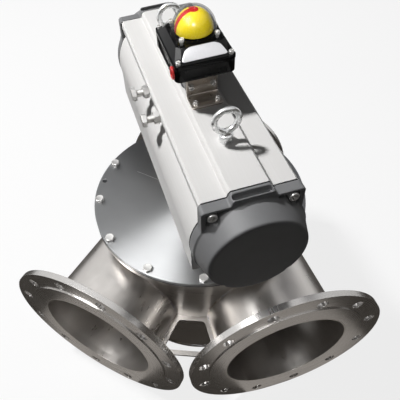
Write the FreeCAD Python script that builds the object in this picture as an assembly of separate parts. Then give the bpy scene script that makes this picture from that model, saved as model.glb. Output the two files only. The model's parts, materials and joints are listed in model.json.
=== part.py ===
# Two-way flow diverter valve, DN 250: one inlet behind, two outlets in front, a segment
# rotor in a welded drum, and a rack and pinion air actuator with a switch box on top.
# Sizes are in millimetres. The pieces are drawn about the rotor shaft: the shaft is the
# Z axis, the three pipe centres lie in the plane z = 0 and the inlet points along +Y.
# Each piece is moved when it is saved, so that the origin is the centre of the inlet flange,
# in the plane of its bolting face, behind the raised face.
import FreeCAD, Part
import math
import os

Vector = FreeCAD.Vector
X = Vector(1, 0, 0)
Y = Vector(0, 1, 0)
Z = Vector(0, 0, 1)
ORIGIN = Vector(0, 0, 0)

# Pipe ends: tube size and the PN 10 drilling for DN 250
pipe_bore = 247.0
pipe_wall = 3.0
flange_diameter = 395.0
flange_thickness = 12.0
raised_face_diameter = 320.0
raised_face_height = 2.0
flange_bolt_circle = 350.0
flange_hole_diameter = 22.0
flange_hole_count = 12
weld_fit = 0.05

# Housing
shaft_to_inlet = 257.0
shaft_to_apex = 204.0
apex_to_outlet = 504.0
outlet_half_angle = 22.5
outlet_taper = 2.35
drum_diameter = 396.0
drum_wall = 4.0
drum_height = 290.0
bottom_thickness = 10.0
ring_overhang = 18.5
ring_thickness = 10.0
outlet_port_diameter = 210.0
inlet_port_diameter = 236.0
gusset_thickness = 5.0
gusset_reach = 88.0
gusset_rim = 10.0
gusset_corner = 9.0

# Cover and its bolts
gasket_thickness = 2.0
cover_thickness = 8.0
cover_bolt_edge = 11.0
cover_bolt_count = 12
cover_bolt_offset = 7.5
cover_bolt_size = 10.0
bolt_clearance = 0.5
jack_hole_angle = 172.5

# Shaft, bearings and rotor
shaft_diameter = 45.0
running_fit = 0.05
bush_wall = 5.0
bearing_flange_diameter = 126.0
bearing_flange_thickness = 10.0
bearing_barrel_diameter = 80.0
bearing_bolt_circle = 106.0
bearing_bolt_size = 8.0
upper_bearing_height = 46.0
lower_bearing_height = 33.0
seal_height = 8.0
rotor_end_gap = 2.0
rotor_rim_gap = 0.5
disc_thickness = 6.0
segment_thickness = 6.0
segment_half_angle = 54.0
segment_rest_angle = -135.0
deflector_thickness = 5.0
shaft_flange_diameter = 110.0
shaft_flange_thickness = 8.0
seal_width = 10.0
seal_depth = 3.0
seal_gap = 0.3

# Bracket between the cover and the actuator
bracket_height = 104.0
bracket_wall = 8.0
bracket_span = 156.0
bracket_foot = 34.0
bracket_width = 104.0
bracket_bolt_size = 10.0
foot_bolt_spacing = 70.0
actuator_bolt_circle = 102.0
coupling_diameter = 68.0
coupling_height = 42.0
drive_square = 27.0
drive_depth = 22.0

# Actuator
actuator_half_length = 238.0
actuator_bore = 125.0
actuator_floor = 8.0
barrel_diameter = 174.0
pad_half_width = 30.5
pad_height = 10.0
shoulder_half_width = 71.4
shoulder_height = 84.0
shoulder_depth = 20.0
block_half_width = 85.0
edge_chamfer = 3.5
cap_flange_thickness = 18.0
cap_root_diameter = 170.0
cap_nose_diameter = 150.0
cap_nose_rounding = 5.0
cap_drum_length = 54.0
cap_wall = 10.0
cap_spigot = 10.0
cap_gasket_thickness = 1.0
cap_screw_size = 10.0
upper_cap_screw = (58.0, 71.0)
lower_cap_screw = (57.0, -57.5)
cap_screw_depth = 30.0
cap_screw_room = 9.0
cap_overhang = 2.5
cap_pocket_depth = 8.0
recess_width = 57.0
recess_depth = 9.0
recess_wall = 5.5
recess_lip = 2.0
recess_corner = 4.0

# Pinion, racks and stops
gear_module = 4.0
pinion_teeth = 20
pressure_angle = 20.0
backlash = 0.3
gear_height = 34.0
rack_height = 30.0
rack_back = 13.0
travel_angle = 90.0
piston_rest = 82.0
piston_length = 56.0
piston_head = 14.0
piston_wall = 8.0
piston_play = 0.4
piston_ring_width = 5.0
piston_ring_depth = 4.0
pinion_journal_diameter = 54.0
pinion_stem_diameter = 40.0
pinion_top_diameter = 32.0
pinion_top_height = 30.0
pinion_bush_wall = 4.0
cam_radius = 45.0
cam_flat = 22.0
cam_thickness = 12.0
stop_bolt_size = 12.0
stop_bolt_spacing = 70.0
stop_bolt_height = 71.0
stop_bolt_reach = 93.0
stop_gap = 0.3

# Eye bolts
eye_spacing = 289.0
eye_ring_diameter = 36.0
eye_wire = 9.0
eye_collar_diameter = 21.0
eye_collar_height = 12.0
eye_thread_length = 18.0

# Position switch box
box_bracket_sheet = 3.0
box_screw_spacing = 114.0
box_screw_off = 17.5
box_foot_edge = 9.5
box_foot_length = 34.5
box_foot_width = 50.0
box_screw_depth = 10.0
box_lift = 45.0
box_length = 114.0
box_width = 92.0
box_base_height = 20.0
box_ear_height = 5.5
box_shell = 4.0
box_corner = 9.0
box_block_height = 34.0
web_screw_drop = 26.5
bonnet_height = 14.5
bonnet_margin = 2.0
bonnet_foot_cut = 15.0
bonnet_crown_rim = 1.0
bonnet_crown_cut = 9.0
cover_screw_edge = 6.5
small_screw_size = 5.0
dome_flange_diameter = 72.0
dome_flange_height = 4.0
dome_radius = 33.0
dome_shell = 2.0
dome_screw_edge = 9.5
indicator_radius = 29.0
spindle_diameter = 10.0
plug_diameter = 19.0
plug_height = 3.0
plug_edge = 14.0
label_width = 56.0
label_thickness = 0.8
label_corner = 7.0
label_margin = 2.0
trip_cam_diameter = 18.0
trip_cam_width = 5.0
trip_cam_lobe = 10.0
trip_cam_throw = 7.0
trip_cam_pitch = 8.0
microswitch_length = 28.0
microswitch_width = 10.0
microswitch_height = 16.0
microswitch_off = 23.0

# Heights and radii that follow from the sizes above
drum_top = drum_height / 2
drum_floor = -drum_height / 2
ring_top = drum_top + ring_thickness
cover_seat = ring_top + gasket_thickness
cover_top = cover_seat + cover_thickness
ring_diameter = drum_diameter + 2 * ring_overhang
cover_bolt_circle = ring_diameter - 2 * cover_bolt_edge
drum_radius = drum_diameter / 2
drum_inner = drum_radius - drum_wall
pipe_radius = pipe_bore / 2 + pipe_wall
shaft_radius = shaft_diameter / 2
rotor_radius = drum_inner - rotor_rim_gap
rotor_top = drum_top - rotor_end_gap
actuator_base = cover_top + bracket_height
bore_radius = actuator_bore / 2
actuator_axis = actuator_base + actuator_floor + bore_radius
pad_top = actuator_axis + shoulder_height + pad_height
pitch_radius = gear_module * pinion_teeth / 2
tooth_pitch = math.pi * gear_module
rack_travel = pitch_radius * math.radians(travel_angle)
bush_radius = shaft_radius + running_fit + bush_wall
box_bottom = pad_top + box_lift
box_split = box_bottom + box_base_height
ear_top = box_split + box_ear_height
box_top = ear_top + bonnet_height
dome_seat = box_top + dome_flange_height
bonnet_foot = (box_length / 2 - bonnet_margin, box_width / 2 - bonnet_margin, bonnet_foot_cut)
bonnet_crown_half = dome_flange_diameter / 2 + bonnet_crown_rim
bonnet_crown = (bonnet_crown_half, bonnet_crown_half, bonnet_crown_cut)
dome_screw_off = dome_flange_diameter / 2 - dome_screw_edge
bonnet_run = bonnet_foot[0] - bonnet_crown[0]
label_length = math.hypot(bonnet_run, bonnet_height) - 2 * label_margin
plug_place = box_length / 2 - plug_edge
pinion_top = pad_top + pinion_top_height
actuator_turn = outlet_half_angle - 90


def cylinder(radius, low, high):
    return Part.makeCylinder(radius, high - low, Vector(0, 0, low))


def tube(outer, inner, low, high):
    return cylinder(outer, low, high).cut(cylinder(inner, low - 1, high + 1))


def block(x0, x1, y0, y1, z0, z1):
    return Part.makeBox(x1 - x0, y1 - y0, z1 - z0, Vector(x0, y0, z0))


def turned(shape, angle):
    result = shape.copy()
    result.rotate(ORIGIN, Z, angle)
    return result


def moved(shape, x, y, z):
    result = shape.copy()
    result.translate(Vector(x, y, z))
    return result


def ring_of(shape, count, first=0.0):
    """Copies of a shape, evenly spaced about the Z axis."""
    return [turned(shape, first + 360.0 * i / count) for i in range(count)]


def revolve_z(points):
    """A solid of revolution about Z from (radius, height) points."""
    corners = [Vector(r, 0, z) for r, z in points]
    return Part.Face(Part.makePolygon(corners + corners[:1])).revolve(ORIGIN, Z, 360)


def lying(shape, azimuth):
    """Lays a shape that stands along +Z down, so that it points along an azimuth."""
    result = shape.copy()
    result.rotate(ORIGIN, Y, 90)
    result.rotate(ORIGIN, Z, azimuth)
    return result


def plate(points, low, high):
    """A flat plate from (x, y) corners, between two heights."""
    corners = [Vector(x, y, low) for x, y in points]
    return Part.Face(Part.makePolygon(corners + corners[:1])).extrude(Vector(0, 0, high - low))


def hexagon(across_flats, low, high):
    corner = across_flats / math.sqrt(3)
    angles = [math.radians(60 * i) for i in range(6)]
    return plate([(corner * math.cos(a), corner * math.sin(a)) for a in angles], low, high)


def hex_bolt(size, length):
    """Hexagon head screw: the seat of the head is z = 0, the shank points down."""
    head = hexagon(1.6 * size, 0, 0.64 * size)
    return head.fuse(cylinder(size / 2, -length, 0)).removeSplitter()


def socket_screw(size, length):
    """Socket head screw: the seat of the head is z = 0, the shank points down."""
    head = cylinder(0.75 * size, 0, size)
    key = hexagon(0.8 * size, size * 0.5, size + 1)
    return head.cut(key).fuse(cylinder(size / 2, -length, 0)).removeSplitter()


HOME = Vector(0, raised_face_height - shaft_to_inlet, 0)
LEFT = -90 - outlet_half_angle
RIGHT = -90 + outlet_half_angle
APEX = Vector(0, shaft_to_apex, 0)


def save(name, *shapes):
    """Writes the pieces of one node, moved so that the inlet flange is at the origin."""
    pieces = [shape.copy() for shape in shapes]
    for piece in pieces:
        piece.translate(HOME)
    whole = pieces[0] if len(pieces) == 1 else Part.makeCompound(pieces)
    whole.exportStep("parts/" + name + ".step")


def save_actuator(name, *shapes):
    """Writes pieces that are drawn with the actuator's length along X."""
    save(name, *[turned(shape, actuator_turn) for shape in shapes])


# Pipe ends and welded housing


def pipe_flange():
    """Flange on the Z axis with its raised face at z = 0 and the tube coming from below."""
    seat = -raised_face_height
    back = seat - flange_thickness
    body = cylinder(flange_diameter / 2, back, seat)
    body = body.fuse(cylinder(raised_face_diameter / 2, seat, 0)).removeSplitter()
    body = body.cut(cylinder(pipe_radius + weld_fit, back - 1, 1))
    hole = moved(cylinder(flange_hole_diameter / 2, back - 1, 1), flange_bolt_circle / 2, 0, 0)
    for cutter in ring_of(hole, flange_hole_count, 180.0 / flange_hole_count):
        body = body.cut(cutter)
    return body


def at_outlet(shape, azimuth):
    """Moves a shape from z = 0 to the outlet face at the given azimuth."""
    result = lying(shape, azimuth)
    result.translate(APEX)
    reach = math.radians(azimuth)
    result.translate(Vector(math.cos(reach), math.sin(reach), 0) * apex_to_outlet)
    return result


def at_inlet(shape):
    return moved(lying(shape, 90), 0, shaft_to_inlet, 0)


def taper_radius(depth):
    """Outer radius of an outlet leg at a depth behind its face, where the taper has begun."""
    straight = raised_face_height + flange_thickness
    return pipe_radius - (depth - straight) * math.tan(math.radians(outlet_taper))


def leg_profile(margin):
    """(radius, height) points down the outside of a leg, grown by a margin."""
    straight = raised_face_height + flange_thickness
    depth = apex_to_outlet - shaft_to_apex
    points = [(pipe_radius, 0), (pipe_radius, -straight), (taper_radius(depth), -depth)]
    return [(r + margin, z) for r, z in points]


def outlet_leg(azimuth):
    """Tapered tube from the outlet face to the outside of the drum."""
    outer = leg_profile(0)
    inner = [(r - pipe_wall, z) for r, z in reversed(outer)]
    leg = at_outlet(revolve_z(outer + inner), azimuth)
    return leg.cut(cylinder(drum_radius, drum_floor * 2, drum_top * 2))


def inlet_pipe():
    pipe = at_inlet(tube(pipe_radius, pipe_radius - pipe_wall, -shaft_to_inlet, 0))
    return pipe.cut(cylinder(drum_radius, drum_floor, drum_top))


def housing_drum():
    """The drum wall with its three ports, each cut along its own pipe."""
    wall = tube(drum_radius, drum_inner, drum_floor, drum_top)
    port = cylinder(outlet_port_diameter / 2, -shaft_to_apex, 0)
    for azimuth in (LEFT, RIGHT):
        wall = wall.cut(at_outlet(port, azimuth))
        reach = cylinder(outlet_port_diameter / 2, -apex_to_outlet + shaft_to_apex, 0)
        wall = wall.cut(at_outlet(reach, azimuth))
    return wall.cut(at_inlet(cylinder(inlet_port_diameter / 2, -shaft_to_inlet, 0)))


def drum_ring():
    ring = tube(ring_diameter / 2, drum_inner, drum_top, ring_top)
    hole = cylinder(cover_bolt_size / 2 + running_fit, drum_top - 1, ring_top + 1)
    return cut_on_bolt_circle(ring, hole)


def cut_on_bolt_circle(shape, hole):
    cutter = moved(hole, cover_bolt_circle / 2, 0, 0)
    for item in ring_of(cutter, cover_bolt_count, cover_bolt_offset):
        shape = shape.cut(item)
    return shape


def bottom_plate():
    disc = cylinder(drum_radius, drum_floor - bottom_thickness, drum_floor)
    disc = disc.cut(cylinder(bush_radius + bush_wall, drum_floor - 20, drum_floor + 1))
    hole = moved(cylinder(bearing_bolt_size / 2 + running_fit, drum_floor - 20, drum_floor + 1),
                 bearing_bolt_circle / 2, 0, 0)
    for item in ring_of(hole, 4, 45):
        disc = disc.cut(item)
    return disc


def leg_gusset():
    """Window plate between the two legs, in their common plane."""
    low = -gusset_thickness / 2
    high = gusset_thickness / 2
    near = drum_radius * 0.9
    far = drum_radius + gusset_reach
    wide = far
    sheet = block(-wide, wide, -far, -near, low, high)
    window = block(-wide, wide, -far + gusset_rim, -drum_radius - gusset_rim, low, high)
    legs = []
    rims = []
    depth = apex_to_outlet - shaft_to_apex
    for azimuth in (LEFT, RIGHT):
        leg = revolve_z([(0, 0)] + leg_profile(0) + [(0, -depth)])
        legs.append(at_outlet(leg, azimuth))
        rim = revolve_z([(0, 0)] + leg_profile(gusset_rim) + [(0, -depth)])
        rims.append(at_outlet(rim, azimuth))
    drum = cylinder(drum_radius, drum_floor, drum_top)
    sheet = sheet.cut(drum.fuse(legs))
    window = window.cut(drum.fuse(rims))
    sheet = middle_piece(sheet)
    window = middle_piece(window)
    upright = [e for e in window.Edges if abs(e.tangentAt(e.FirstParameter).z) > 0.9]
    window = window.makeFillet(gusset_corner, upright)
    return sheet.cut(window)


def middle_piece(shape):
    """The solid of a shape that lies nearest the plane x = 0."""
    return min(shape.Solids, key=lambda s: abs(s.CenterOfMass.x))


# Cover


def cover_gasket():
    ring = tube(ring_diameter / 2, drum_inner, ring_top, cover_seat)
    hole = cylinder(cover_bolt_size / 2 + bolt_clearance, ring_top - 1, cover_seat + 1)
    return cut_on_bolt_circle(ring, hole)


def top_cover():
    disc = cylinder(ring_diameter / 2, cover_seat, cover_top)
    disc = disc.makeChamfer(1.0, [top_rim(disc)])
    disc = disc.cut(cylinder(bush_radius + bush_wall, cover_seat - 1, cover_top + 1))
    hole = cylinder(cover_bolt_size / 2 + bolt_clearance, cover_seat - 1, cover_top + 1)
    disc = cut_on_bolt_circle(disc, hole)
    jack = moved(cylinder(cover_bolt_size / 2, cover_seat - 1, cover_top + 1), cover_bolt_circle / 2, 0, 0)
    disc = disc.cut(turned(jack, jack_hole_angle))
    small = moved(cylinder(bearing_bolt_size / 2 + running_fit, cover_seat - 1, cover_top + 1),
                  bearing_bolt_circle / 2, 0, 0)
    for item in ring_of(small, 4, 45):
        disc = disc.cut(item)
    for bolt in foot_bolt_places():
        hole = cylinder(bracket_bolt_size / 2 + running_fit, cover_seat - 1, cover_top + 1)
        disc = disc.cut(turned(moved(hole, bolt[0], bolt[1], 0), actuator_turn))
    return disc


def top_rim(shape):
    """The round edge of greatest length at the top of a shape."""
    high = shape.BoundBox.ZMax
    rims = [e for e in shape.Edges if abs(e.BoundBox.ZMin - high) < 0.01]
    return max(rims, key=lambda e: e.Length)


def cover_bolts():
    bolt = hex_bolt(cover_bolt_size, cover_thickness + gasket_thickness + ring_thickness)
    return ring_of(moved(bolt, cover_bolt_circle / 2, 0, cover_top), cover_bolt_count, cover_bolt_offset)


# Bearings


def bearing_housing(height, closed):
    """Flanged bearing housing standing on z = 0, with a spigot that fills the plate below."""
    flange = bearing_flange_thickness
    spigot = cover_thickness
    neck = bush_radius + bush_wall - weld_fit
    rim = bearing_flange_diameter / 2
    barrel = bearing_barrel_diameter / 2
    outer = [(0, -spigot), (neck, -spigot), (neck, 0), (rim, 0), (rim, flange), (barrel + 4, flange),
             (barrel, flange + 4), (barrel, height), (0, height)]
    body = revolve_z(outer)
    top = height - bush_wall if closed else height - seal_height
    body = body.cut(cylinder(bush_radius + weld_fit, -spigot - 1, top))
    if not closed:
        body = body.cut(cylinder(bush_radius + bush_wall, top, height + 1))
    hole = moved(cylinder(bearing_bolt_size / 2 + running_fit, -1, flange + 1), bearing_bolt_circle / 2, 0, 0)
    for item in ring_of(hole, 4, 45):
        body = body.cut(item)
    return body


def upside_down(shape):
    result = shape.copy()
    result.rotate(ORIGIN, X, 180)
    return result


def bush(low, high):
    return tube(bush_radius, shaft_radius + running_fit, low, high)


def bearing_bolts():
    """Four bolts into the cover from above and four into the bottom plate from below."""
    bolt = hex_bolt(bearing_bolt_size, bearing_flange_thickness + cover_thickness)
    bolt = moved(bolt, bearing_bolt_circle / 2, 0, bearing_flange_thickness)
    upper = [moved(item, 0, 0, cover_top) for item in ring_of(bolt, 4, 45)]
    floor = drum_floor - bottom_thickness
    lower = [moved(upside_down(item), 0, 0, floor) for item in ring_of(bolt, 4, 45)]
    return upper + lower


# Rotor


def rotor_disc(low):
    disc = cylinder(rotor_radius, low, low + disc_thickness)
    return disc.cut(cylinder(shaft_radius + weld_fit, low - 1, low + disc_thickness + 1))


def wedge(half_angle, low, high):
    """Sector of a large disc about +X, with a half angle below 90 degrees."""
    reach = drum_diameter
    side = reach * math.tan(math.radians(half_angle))
    return plate([(0, 0), (reach, -side), (reach, side)], low, high)


def rotor_segment():
    """Curved closing plate with the groove that holds its seal."""
    low = -rotor_top + disc_thickness
    high = rotor_top - disc_thickness
    shell = tube(rotor_radius, rotor_radius - segment_thickness, low, high)
    shell = shell.common(wedge(segment_half_angle, low, high))
    return turned(shell.cut(seal_frame(rotor_radius - seal_depth, rotor_radius + 1)), segment_rest_angle)


def seal_frame(inner, outer):
    """Picture frame bent round the shaft, between two radii, about +X."""
    margin = math.degrees(seal_width / rotor_radius)
    wide = segment_half_angle - margin / 2
    tall = rotor_top - disc_thickness - seal_width / 2
    frame = tube(outer, inner, -tall, tall).common(wedge(wide, -tall, tall))
    window = wedge(wide - margin, -tall + seal_width, tall - seal_width)
    return frame.cut(window)


def segment_seal():
    return turned(seal_frame(rotor_radius - seal_depth, drum_inner - seal_gap), segment_rest_angle)


def deflector():
    """Flat plate across the back of the segment, which keeps its pocket empty."""
    inner = rotor_radius - segment_thickness
    distance = inner * math.cos(math.radians(segment_half_angle))
    reach = inner * math.sin(math.radians(segment_half_angle))
    low = -rotor_top + disc_thickness
    high = rotor_top - disc_thickness
    flat = block(distance - deflector_thickness, distance, -reach, reach, low, high)
    return turned(flat.common(cylinder(inner, low, high)), segment_rest_angle)


def stub_shaft(length):
    """Shaft with a welding flange: the flange's lower face is z = 0, the stub points up."""
    flange = shaft_flange_diameter / 2
    points = [(0, 0), (flange, 0), (flange, shaft_flange_thickness), (shaft_radius, shaft_flange_thickness),
              (shaft_radius, length - 2), (shaft_radius - 2, length), (0, length)]
    return revolve_z(points)


# Bracket and coupling


def foot_bolt_places():
    along = bracket_span / 2 + bracket_foot / 2
    return [(sx * along, sy * foot_bolt_spacing / 2) for sx in (-1, 1) for sy in (-1, 1)]


def mounting_bracket():
    """Bridge of bent plate with two feet on the cover, drawn along the actuator."""
    half = bracket_span / 2
    foot = half + bracket_foot
    wall = bracket_wall
    outline = [(-foot, cover_top), (-half + wall, cover_top), (-half + wall, actuator_base - wall),
               (half - wall, actuator_base - wall), (half - wall, cover_top), (foot, cover_top),
               (foot, cover_top + wall), (half, cover_top + wall), (half, actuator_base),
               (-half, actuator_base), (-half, cover_top + wall), (-foot, cover_top + wall)]
    side = bracket_width / 2
    corners = [Vector(x, -side, z) for x, z in outline]
    bridge = Part.Face(Part.makePolygon(corners + corners[:1])).extrude(Vector(0, bracket_width, 0))
    bridge = bridge.cut(cylinder(coupling_diameter / 2 + 3, actuator_base - wall - 1, actuator_base + 1))
    for x, y in foot_bolt_places():
        hole = cylinder(bracket_bolt_size / 2 + bolt_clearance, cover_top - 1, cover_top + wall + 1)
        bridge = bridge.cut(moved(hole, x, y, 0))
    hole = cylinder(bracket_bolt_size / 2 + bolt_clearance, actuator_base - wall - 1, actuator_base + 1)
    hole = moved(hole, actuator_bolt_circle / 2, 0, 0)
    for item in ring_of(hole, 4, 45):
        bridge = bridge.cut(item)
    return bridge


def bracket_bolts():
    foot = hex_bolt(bracket_bolt_size, bracket_wall + cover_thickness)
    bolts = [moved(foot, x, y, cover_top + bracket_wall) for x, y in foot_bolt_places()]
    upward = upside_down(hex_bolt(bracket_bolt_size, bracket_wall + actuator_floor))
    upward = moved(upward, actuator_bolt_circle / 2, 0, actuator_base - bracket_wall)
    return bolts + ring_of(upward, 4, 45)


def coupling():
    """Sleeve on the rotor shaft that ends in a square for the pinion."""
    low = coupling_low()
    high = low + coupling_height
    sleeve = cylinder(coupling_diameter / 2, low, high)
    sleeve = sleeve.cut(cylinder(shaft_radius + running_fit, low - 1, upper_shaft_top() + 1))
    half = drive_square / 2 - running_fit
    drive = block(-half, half, -half, half, high - 1, actuator_base + drive_depth)
    return turned(sleeve.fuse(drive).removeSplitter(), actuator_turn)


def coupling_low():
    return actuator_base - bracket_wall - 4 - coupling_height


def upper_shaft_top():
    return coupling_low() + coupling_height * 0.6


# Actuator body and caps, drawn with their length along X


def chord(radius, height):
    """Half the width of a circle at a height above its centre."""
    return math.sqrt(radius ** 2 - height ** 2)


def body_outline():
    """Section of the extruded body in the YZ plane: pad, shoulders, necks, barrel and block."""
    neck = shoulder_height - shoulder_depth
    barrel = barrel_diameter / 2
    floor = -actuator_floor - bore_radius
    waist = -chord(barrel, block_half_width)
    side = shoulder_side(shoulder_half_width) + [(shoulder_half_width, neck + 6), (chord(barrel, neck), neck)]
    lower = [(block_half_width, waist), (block_half_width, floor + edge_chamfer),
             (block_half_width - edge_chamfer, floor)]
    return closed_outline(chain(side) + [bulge(barrel, neck, waist)] + chain(lower))


def cap_outline():
    """Section of a cap's flange: the pad and shoulders of the body above a plain barrel."""
    wide = shoulder_half_width + cap_overhang
    barrel = barrel_diameter / 2
    floor = -actuator_floor - bore_radius
    side = shoulder_side(wide) + [(wide, chord(barrel, wide))]
    return closed_outline(chain(side) + [bulge(barrel, chord(barrel, wide), floor)])


def shoulder_side(wide):
    """(y, z) corners from the top of the pad to the outside of a shoulder."""
    pad = pad_half_width
    top = shoulder_height + pad_height
    return [(pad - edge_chamfer, top), (pad, top - edge_chamfer), (pad + 2, shoulder_height),
            (wide - edge_chamfer, shoulder_height), (wide, shoulder_height - edge_chamfer)]


def closed_outline(edges):
    """Closed wire from the edges of its +Y half, which run from the top to the floor."""
    first = edges[0].Vertexes[0].Point
    last = edges[-1].Vertexes[-1].Point
    mirrored = [edge.mirror(ORIGIN, Y) for edge in edges]
    closing = [line((-first.y, first.z), (first.y, first.z)), line((-last.y, last.z), (last.y, last.z))]
    return Part.Wire(Part.__sortEdges__(edges + mirrored + closing))


def line(a, b):
    return Part.LineSegment(Vector(0, a[0], a[1]), Vector(0, b[0], b[1])).toShape()


def chain(points):
    return [line(a, b) for a, b in zip(points, points[1:])]


def bulge(radius, high, low):
    """Arc of the barrel on the +Y side, from one height down to another."""
    start = Vector(0, chord(radius, high), high)
    end = Vector(0, chord(radius, low), low)
    return Part.Arc(start, Vector(0, radius, 0), end).toShape()


def extruded(outline, start, end):
    """An outline drawn about the bore, extruded between two places along the actuator."""
    solid = Part.Face(outline).extrude(Vector(end - start, 0, 0))
    return moved(solid, start, 0, actuator_axis)


def round_bar(radius, start, end):
    """Cylinder along the actuator's axis."""
    bar = Part.makeCylinder(radius, end - start, ORIGIN, X)
    return moved(bar, start, 0, actuator_axis)


def cap_screw_places():
    return [(side * y, z) for side in (-1, 1) for y, z in (upper_cap_screw, lower_cap_screw)]


def stop_bolt_x():
    return stop_bolt_spacing / 2


def actuator_body():
    half = actuator_half_length
    body = extruded(body_outline(), -half, half)
    body = body.cut(round_bar(bore_radius, -half - 1, half + 1))
    pocket_top = actuator_axis + stop_bolt_height + cam_thickness / 2 + 2
    body = body.cut(cylinder(cam_radius + 2, actuator_axis, pocket_top))
    body = body.cut(cylinder(pinion_journal_diameter / 2 + pinion_bush_wall, actuator_base - 1, actuator_axis))
    body = body.cut(cylinder(pinion_stem_diameter / 2 + pinion_bush_wall, actuator_axis, pad_top + 1))
    for x in (-stop_bolt_x(), stop_bolt_x()):
        hole = Part.makeCylinder(stop_bolt_size / 2 + running_fit, stop_bolt_reach, Vector(x, 0, 0), -Y)
        body = body.cut(moved(hole, 0, 0, actuator_axis + stop_bolt_height))
    hole = cylinder(bracket_bolt_size / 2 + running_fit, actuator_base - 1, actuator_base + 2 * actuator_floor)
    hole = moved(hole, actuator_bolt_circle / 2, 0, 0)
    for item in ring_of(hole, 4, 45):
        body = body.cut(item)
    body = body.cut(Part.makeCompound(end_screw_holes()))
    thread = cylinder(stop_bolt_size / 2 + running_fit, pad_top - eye_thread_length - 2, pad_top + 1)
    for x in (-eye_spacing / 2, eye_spacing / 2):
        body = body.cut(moved(thread, x, 0, 0))
    thread = cylinder(small_screw_size / 2 + running_fit, pad_top - box_screw_depth - 2, pad_top + 1)
    for x, y in box_foot_screw_places():
        body = body.cut(moved(thread, x, y, 0))
    return body


def end_screw_holes():
    half = actuator_half_length
    depth = cap_screw_depth
    holes = []
    for y, z in cap_screw_places():
        for start in (-half - 1, half - depth):
            bar = Part.makeCylinder(cap_screw_size / 2 + running_fit, depth + 1, Vector(start, y, 0), X)
            holes.append(moved(bar, 0, 0, actuator_axis + z))
    return holes


def cap_gasket():
    """Thin gasket between the body and the cap at the +X end."""
    start = actuator_half_length
    end = start + cap_gasket_thickness
    sheet = extruded(body_outline(), start, end).common(extruded(cap_outline(), start, end))
    sheet = sheet.cut(round_bar(bore_radius, start - 1, end + 1))
    for y, z in cap_screw_places():
        bar = Part.makeCylinder(cap_screw_size / 2 + bolt_clearance, 20, Vector(start - 10, y, 0), X)
        sheet = sheet.cut(moved(bar, 0, 0, actuator_axis + z))
    return sheet


def end_cap():
    """Cast cap for the +X end: a flange with corner pockets and a round air chamber."""
    start = actuator_half_length + cap_gasket_thickness
    front = start + cap_flange_thickness
    nose = actuator_half_length + cap_drum_length
    root = cap_root_diameter / 2
    floor = front - cap_pocket_depth
    cap = extruded(cap_outline(), start, front)
    for y, z in cap_screw_places():
        cap = cap.cut(pocket(y, z, floor, front))
    chamber = Part.makeCone(root, cap_nose_diameter / 2, nose - front, Vector(front, 0, 0), X)
    chamber = chamber.fuse(Part.makeCylinder(root, front - start, Vector(start, 0, 0), X)).removeSplitter()
    rim = [e for e in chamber.Edges if e.BoundBox.XMin > nose - 0.1]
    chamber = chamber.makeFillet(cap_nose_rounding, rim)
    cap = cap.fuse(moved(chamber, 0, 0, actuator_axis)).removeSplitter()
    for y, z in cap_screw_places():
        room = Part.makeCylinder(cap_screw_room, nose - floor, Vector(floor, y, 0), X)
        cap = cap.cut(moved(room, 0, 0, actuator_axis + z))
    spigot = round_bar(bore_radius - running_fit, start - cap_spigot, start)
    cap = cap.fuse(spigot).removeSplitter()
    cap = cap.cut(round_bar(bore_radius - cap_wall, start - cap_spigot - 1, nose - cap_wall))
    cap = cap.cut(pad_recess(start + recess_wall, front - recess_lip))
    for y, z in cap_screw_places():
        bar = Part.makeCylinder(cap_screw_size / 2 + bolt_clearance, front - start, Vector(start - 1, y, 0), X)
        cap = cap.cut(moved(bar, 0, 0, actuator_axis + z))
    return cap


def pad_recess(start, end):
    """Trough across the top of the cap's pad, with round ends."""
    half = recess_width / 2
    trough = block(start, end, -half, half, pad_top - recess_depth, pad_top + 1)
    upright = [e for e in trough.Edges if abs(e.tangentAt(e.FirstParameter).z) > 0.9]
    return trough.makeFillet(recess_corner, upright)


def pocket(y, z, floor, front):
    """Corner pocket round a cap screw, open to the front."""
    size = cap_screw_room
    reach = cap_root_diameter / 2
    side = 1 if y > 0 else -1
    rise = 1 if z > 0 else -1
    corner = block(0, front - floor + 1, -reach / 2, size, -reach / 2, size)
    upright = [e for e in corner.Edges if abs(e.tangentAt(e.FirstParameter).x) > 0.9]
    outer = max(upright, key=lambda e: e.CenterOfMass.y + e.CenterOfMass.z)
    corner = corner.makeFillet(recess_corner, [outer])
    if side < 0:
        corner = corner.mirror(ORIGIN, Y)
    if rise < 0:
        corner = corner.mirror(ORIGIN, Z)
    return moved(corner, floor, y, actuator_axis + z)


def end_cap_screws():
    seat = actuator_half_length + cap_gasket_thickness + cap_flange_thickness - cap_pocket_depth
    screw = lying(socket_screw(cap_screw_size, cap_screw_depth), 0)
    near = [moved(screw, seat, y, actuator_axis + z) for y, z in cap_screw_places()]
    return near + [item.mirror(ORIGIN, X) for item in near]


# Pistons and pinion


def rack_profile(first, last):
    """(x, y) corners of a toothed rack that faces +Y with its pitch line at y = 0."""
    addendum = gear_module
    dedendum = 1.25 * gear_module
    slope = math.tan(math.radians(pressure_angle))
    half = tooth_pitch / 4 - backlash / 2
    tip = half - addendum * slope
    root = half + dedendum * slope
    points = []
    for i in range(first, last):
        centre = (i + 0.5) * tooth_pitch
        points += [(centre - root, -dedendum), (centre - tip, addendum),
                   (centre + tip, addendum), (centre + root, -dedendum)]
    return points


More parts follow.
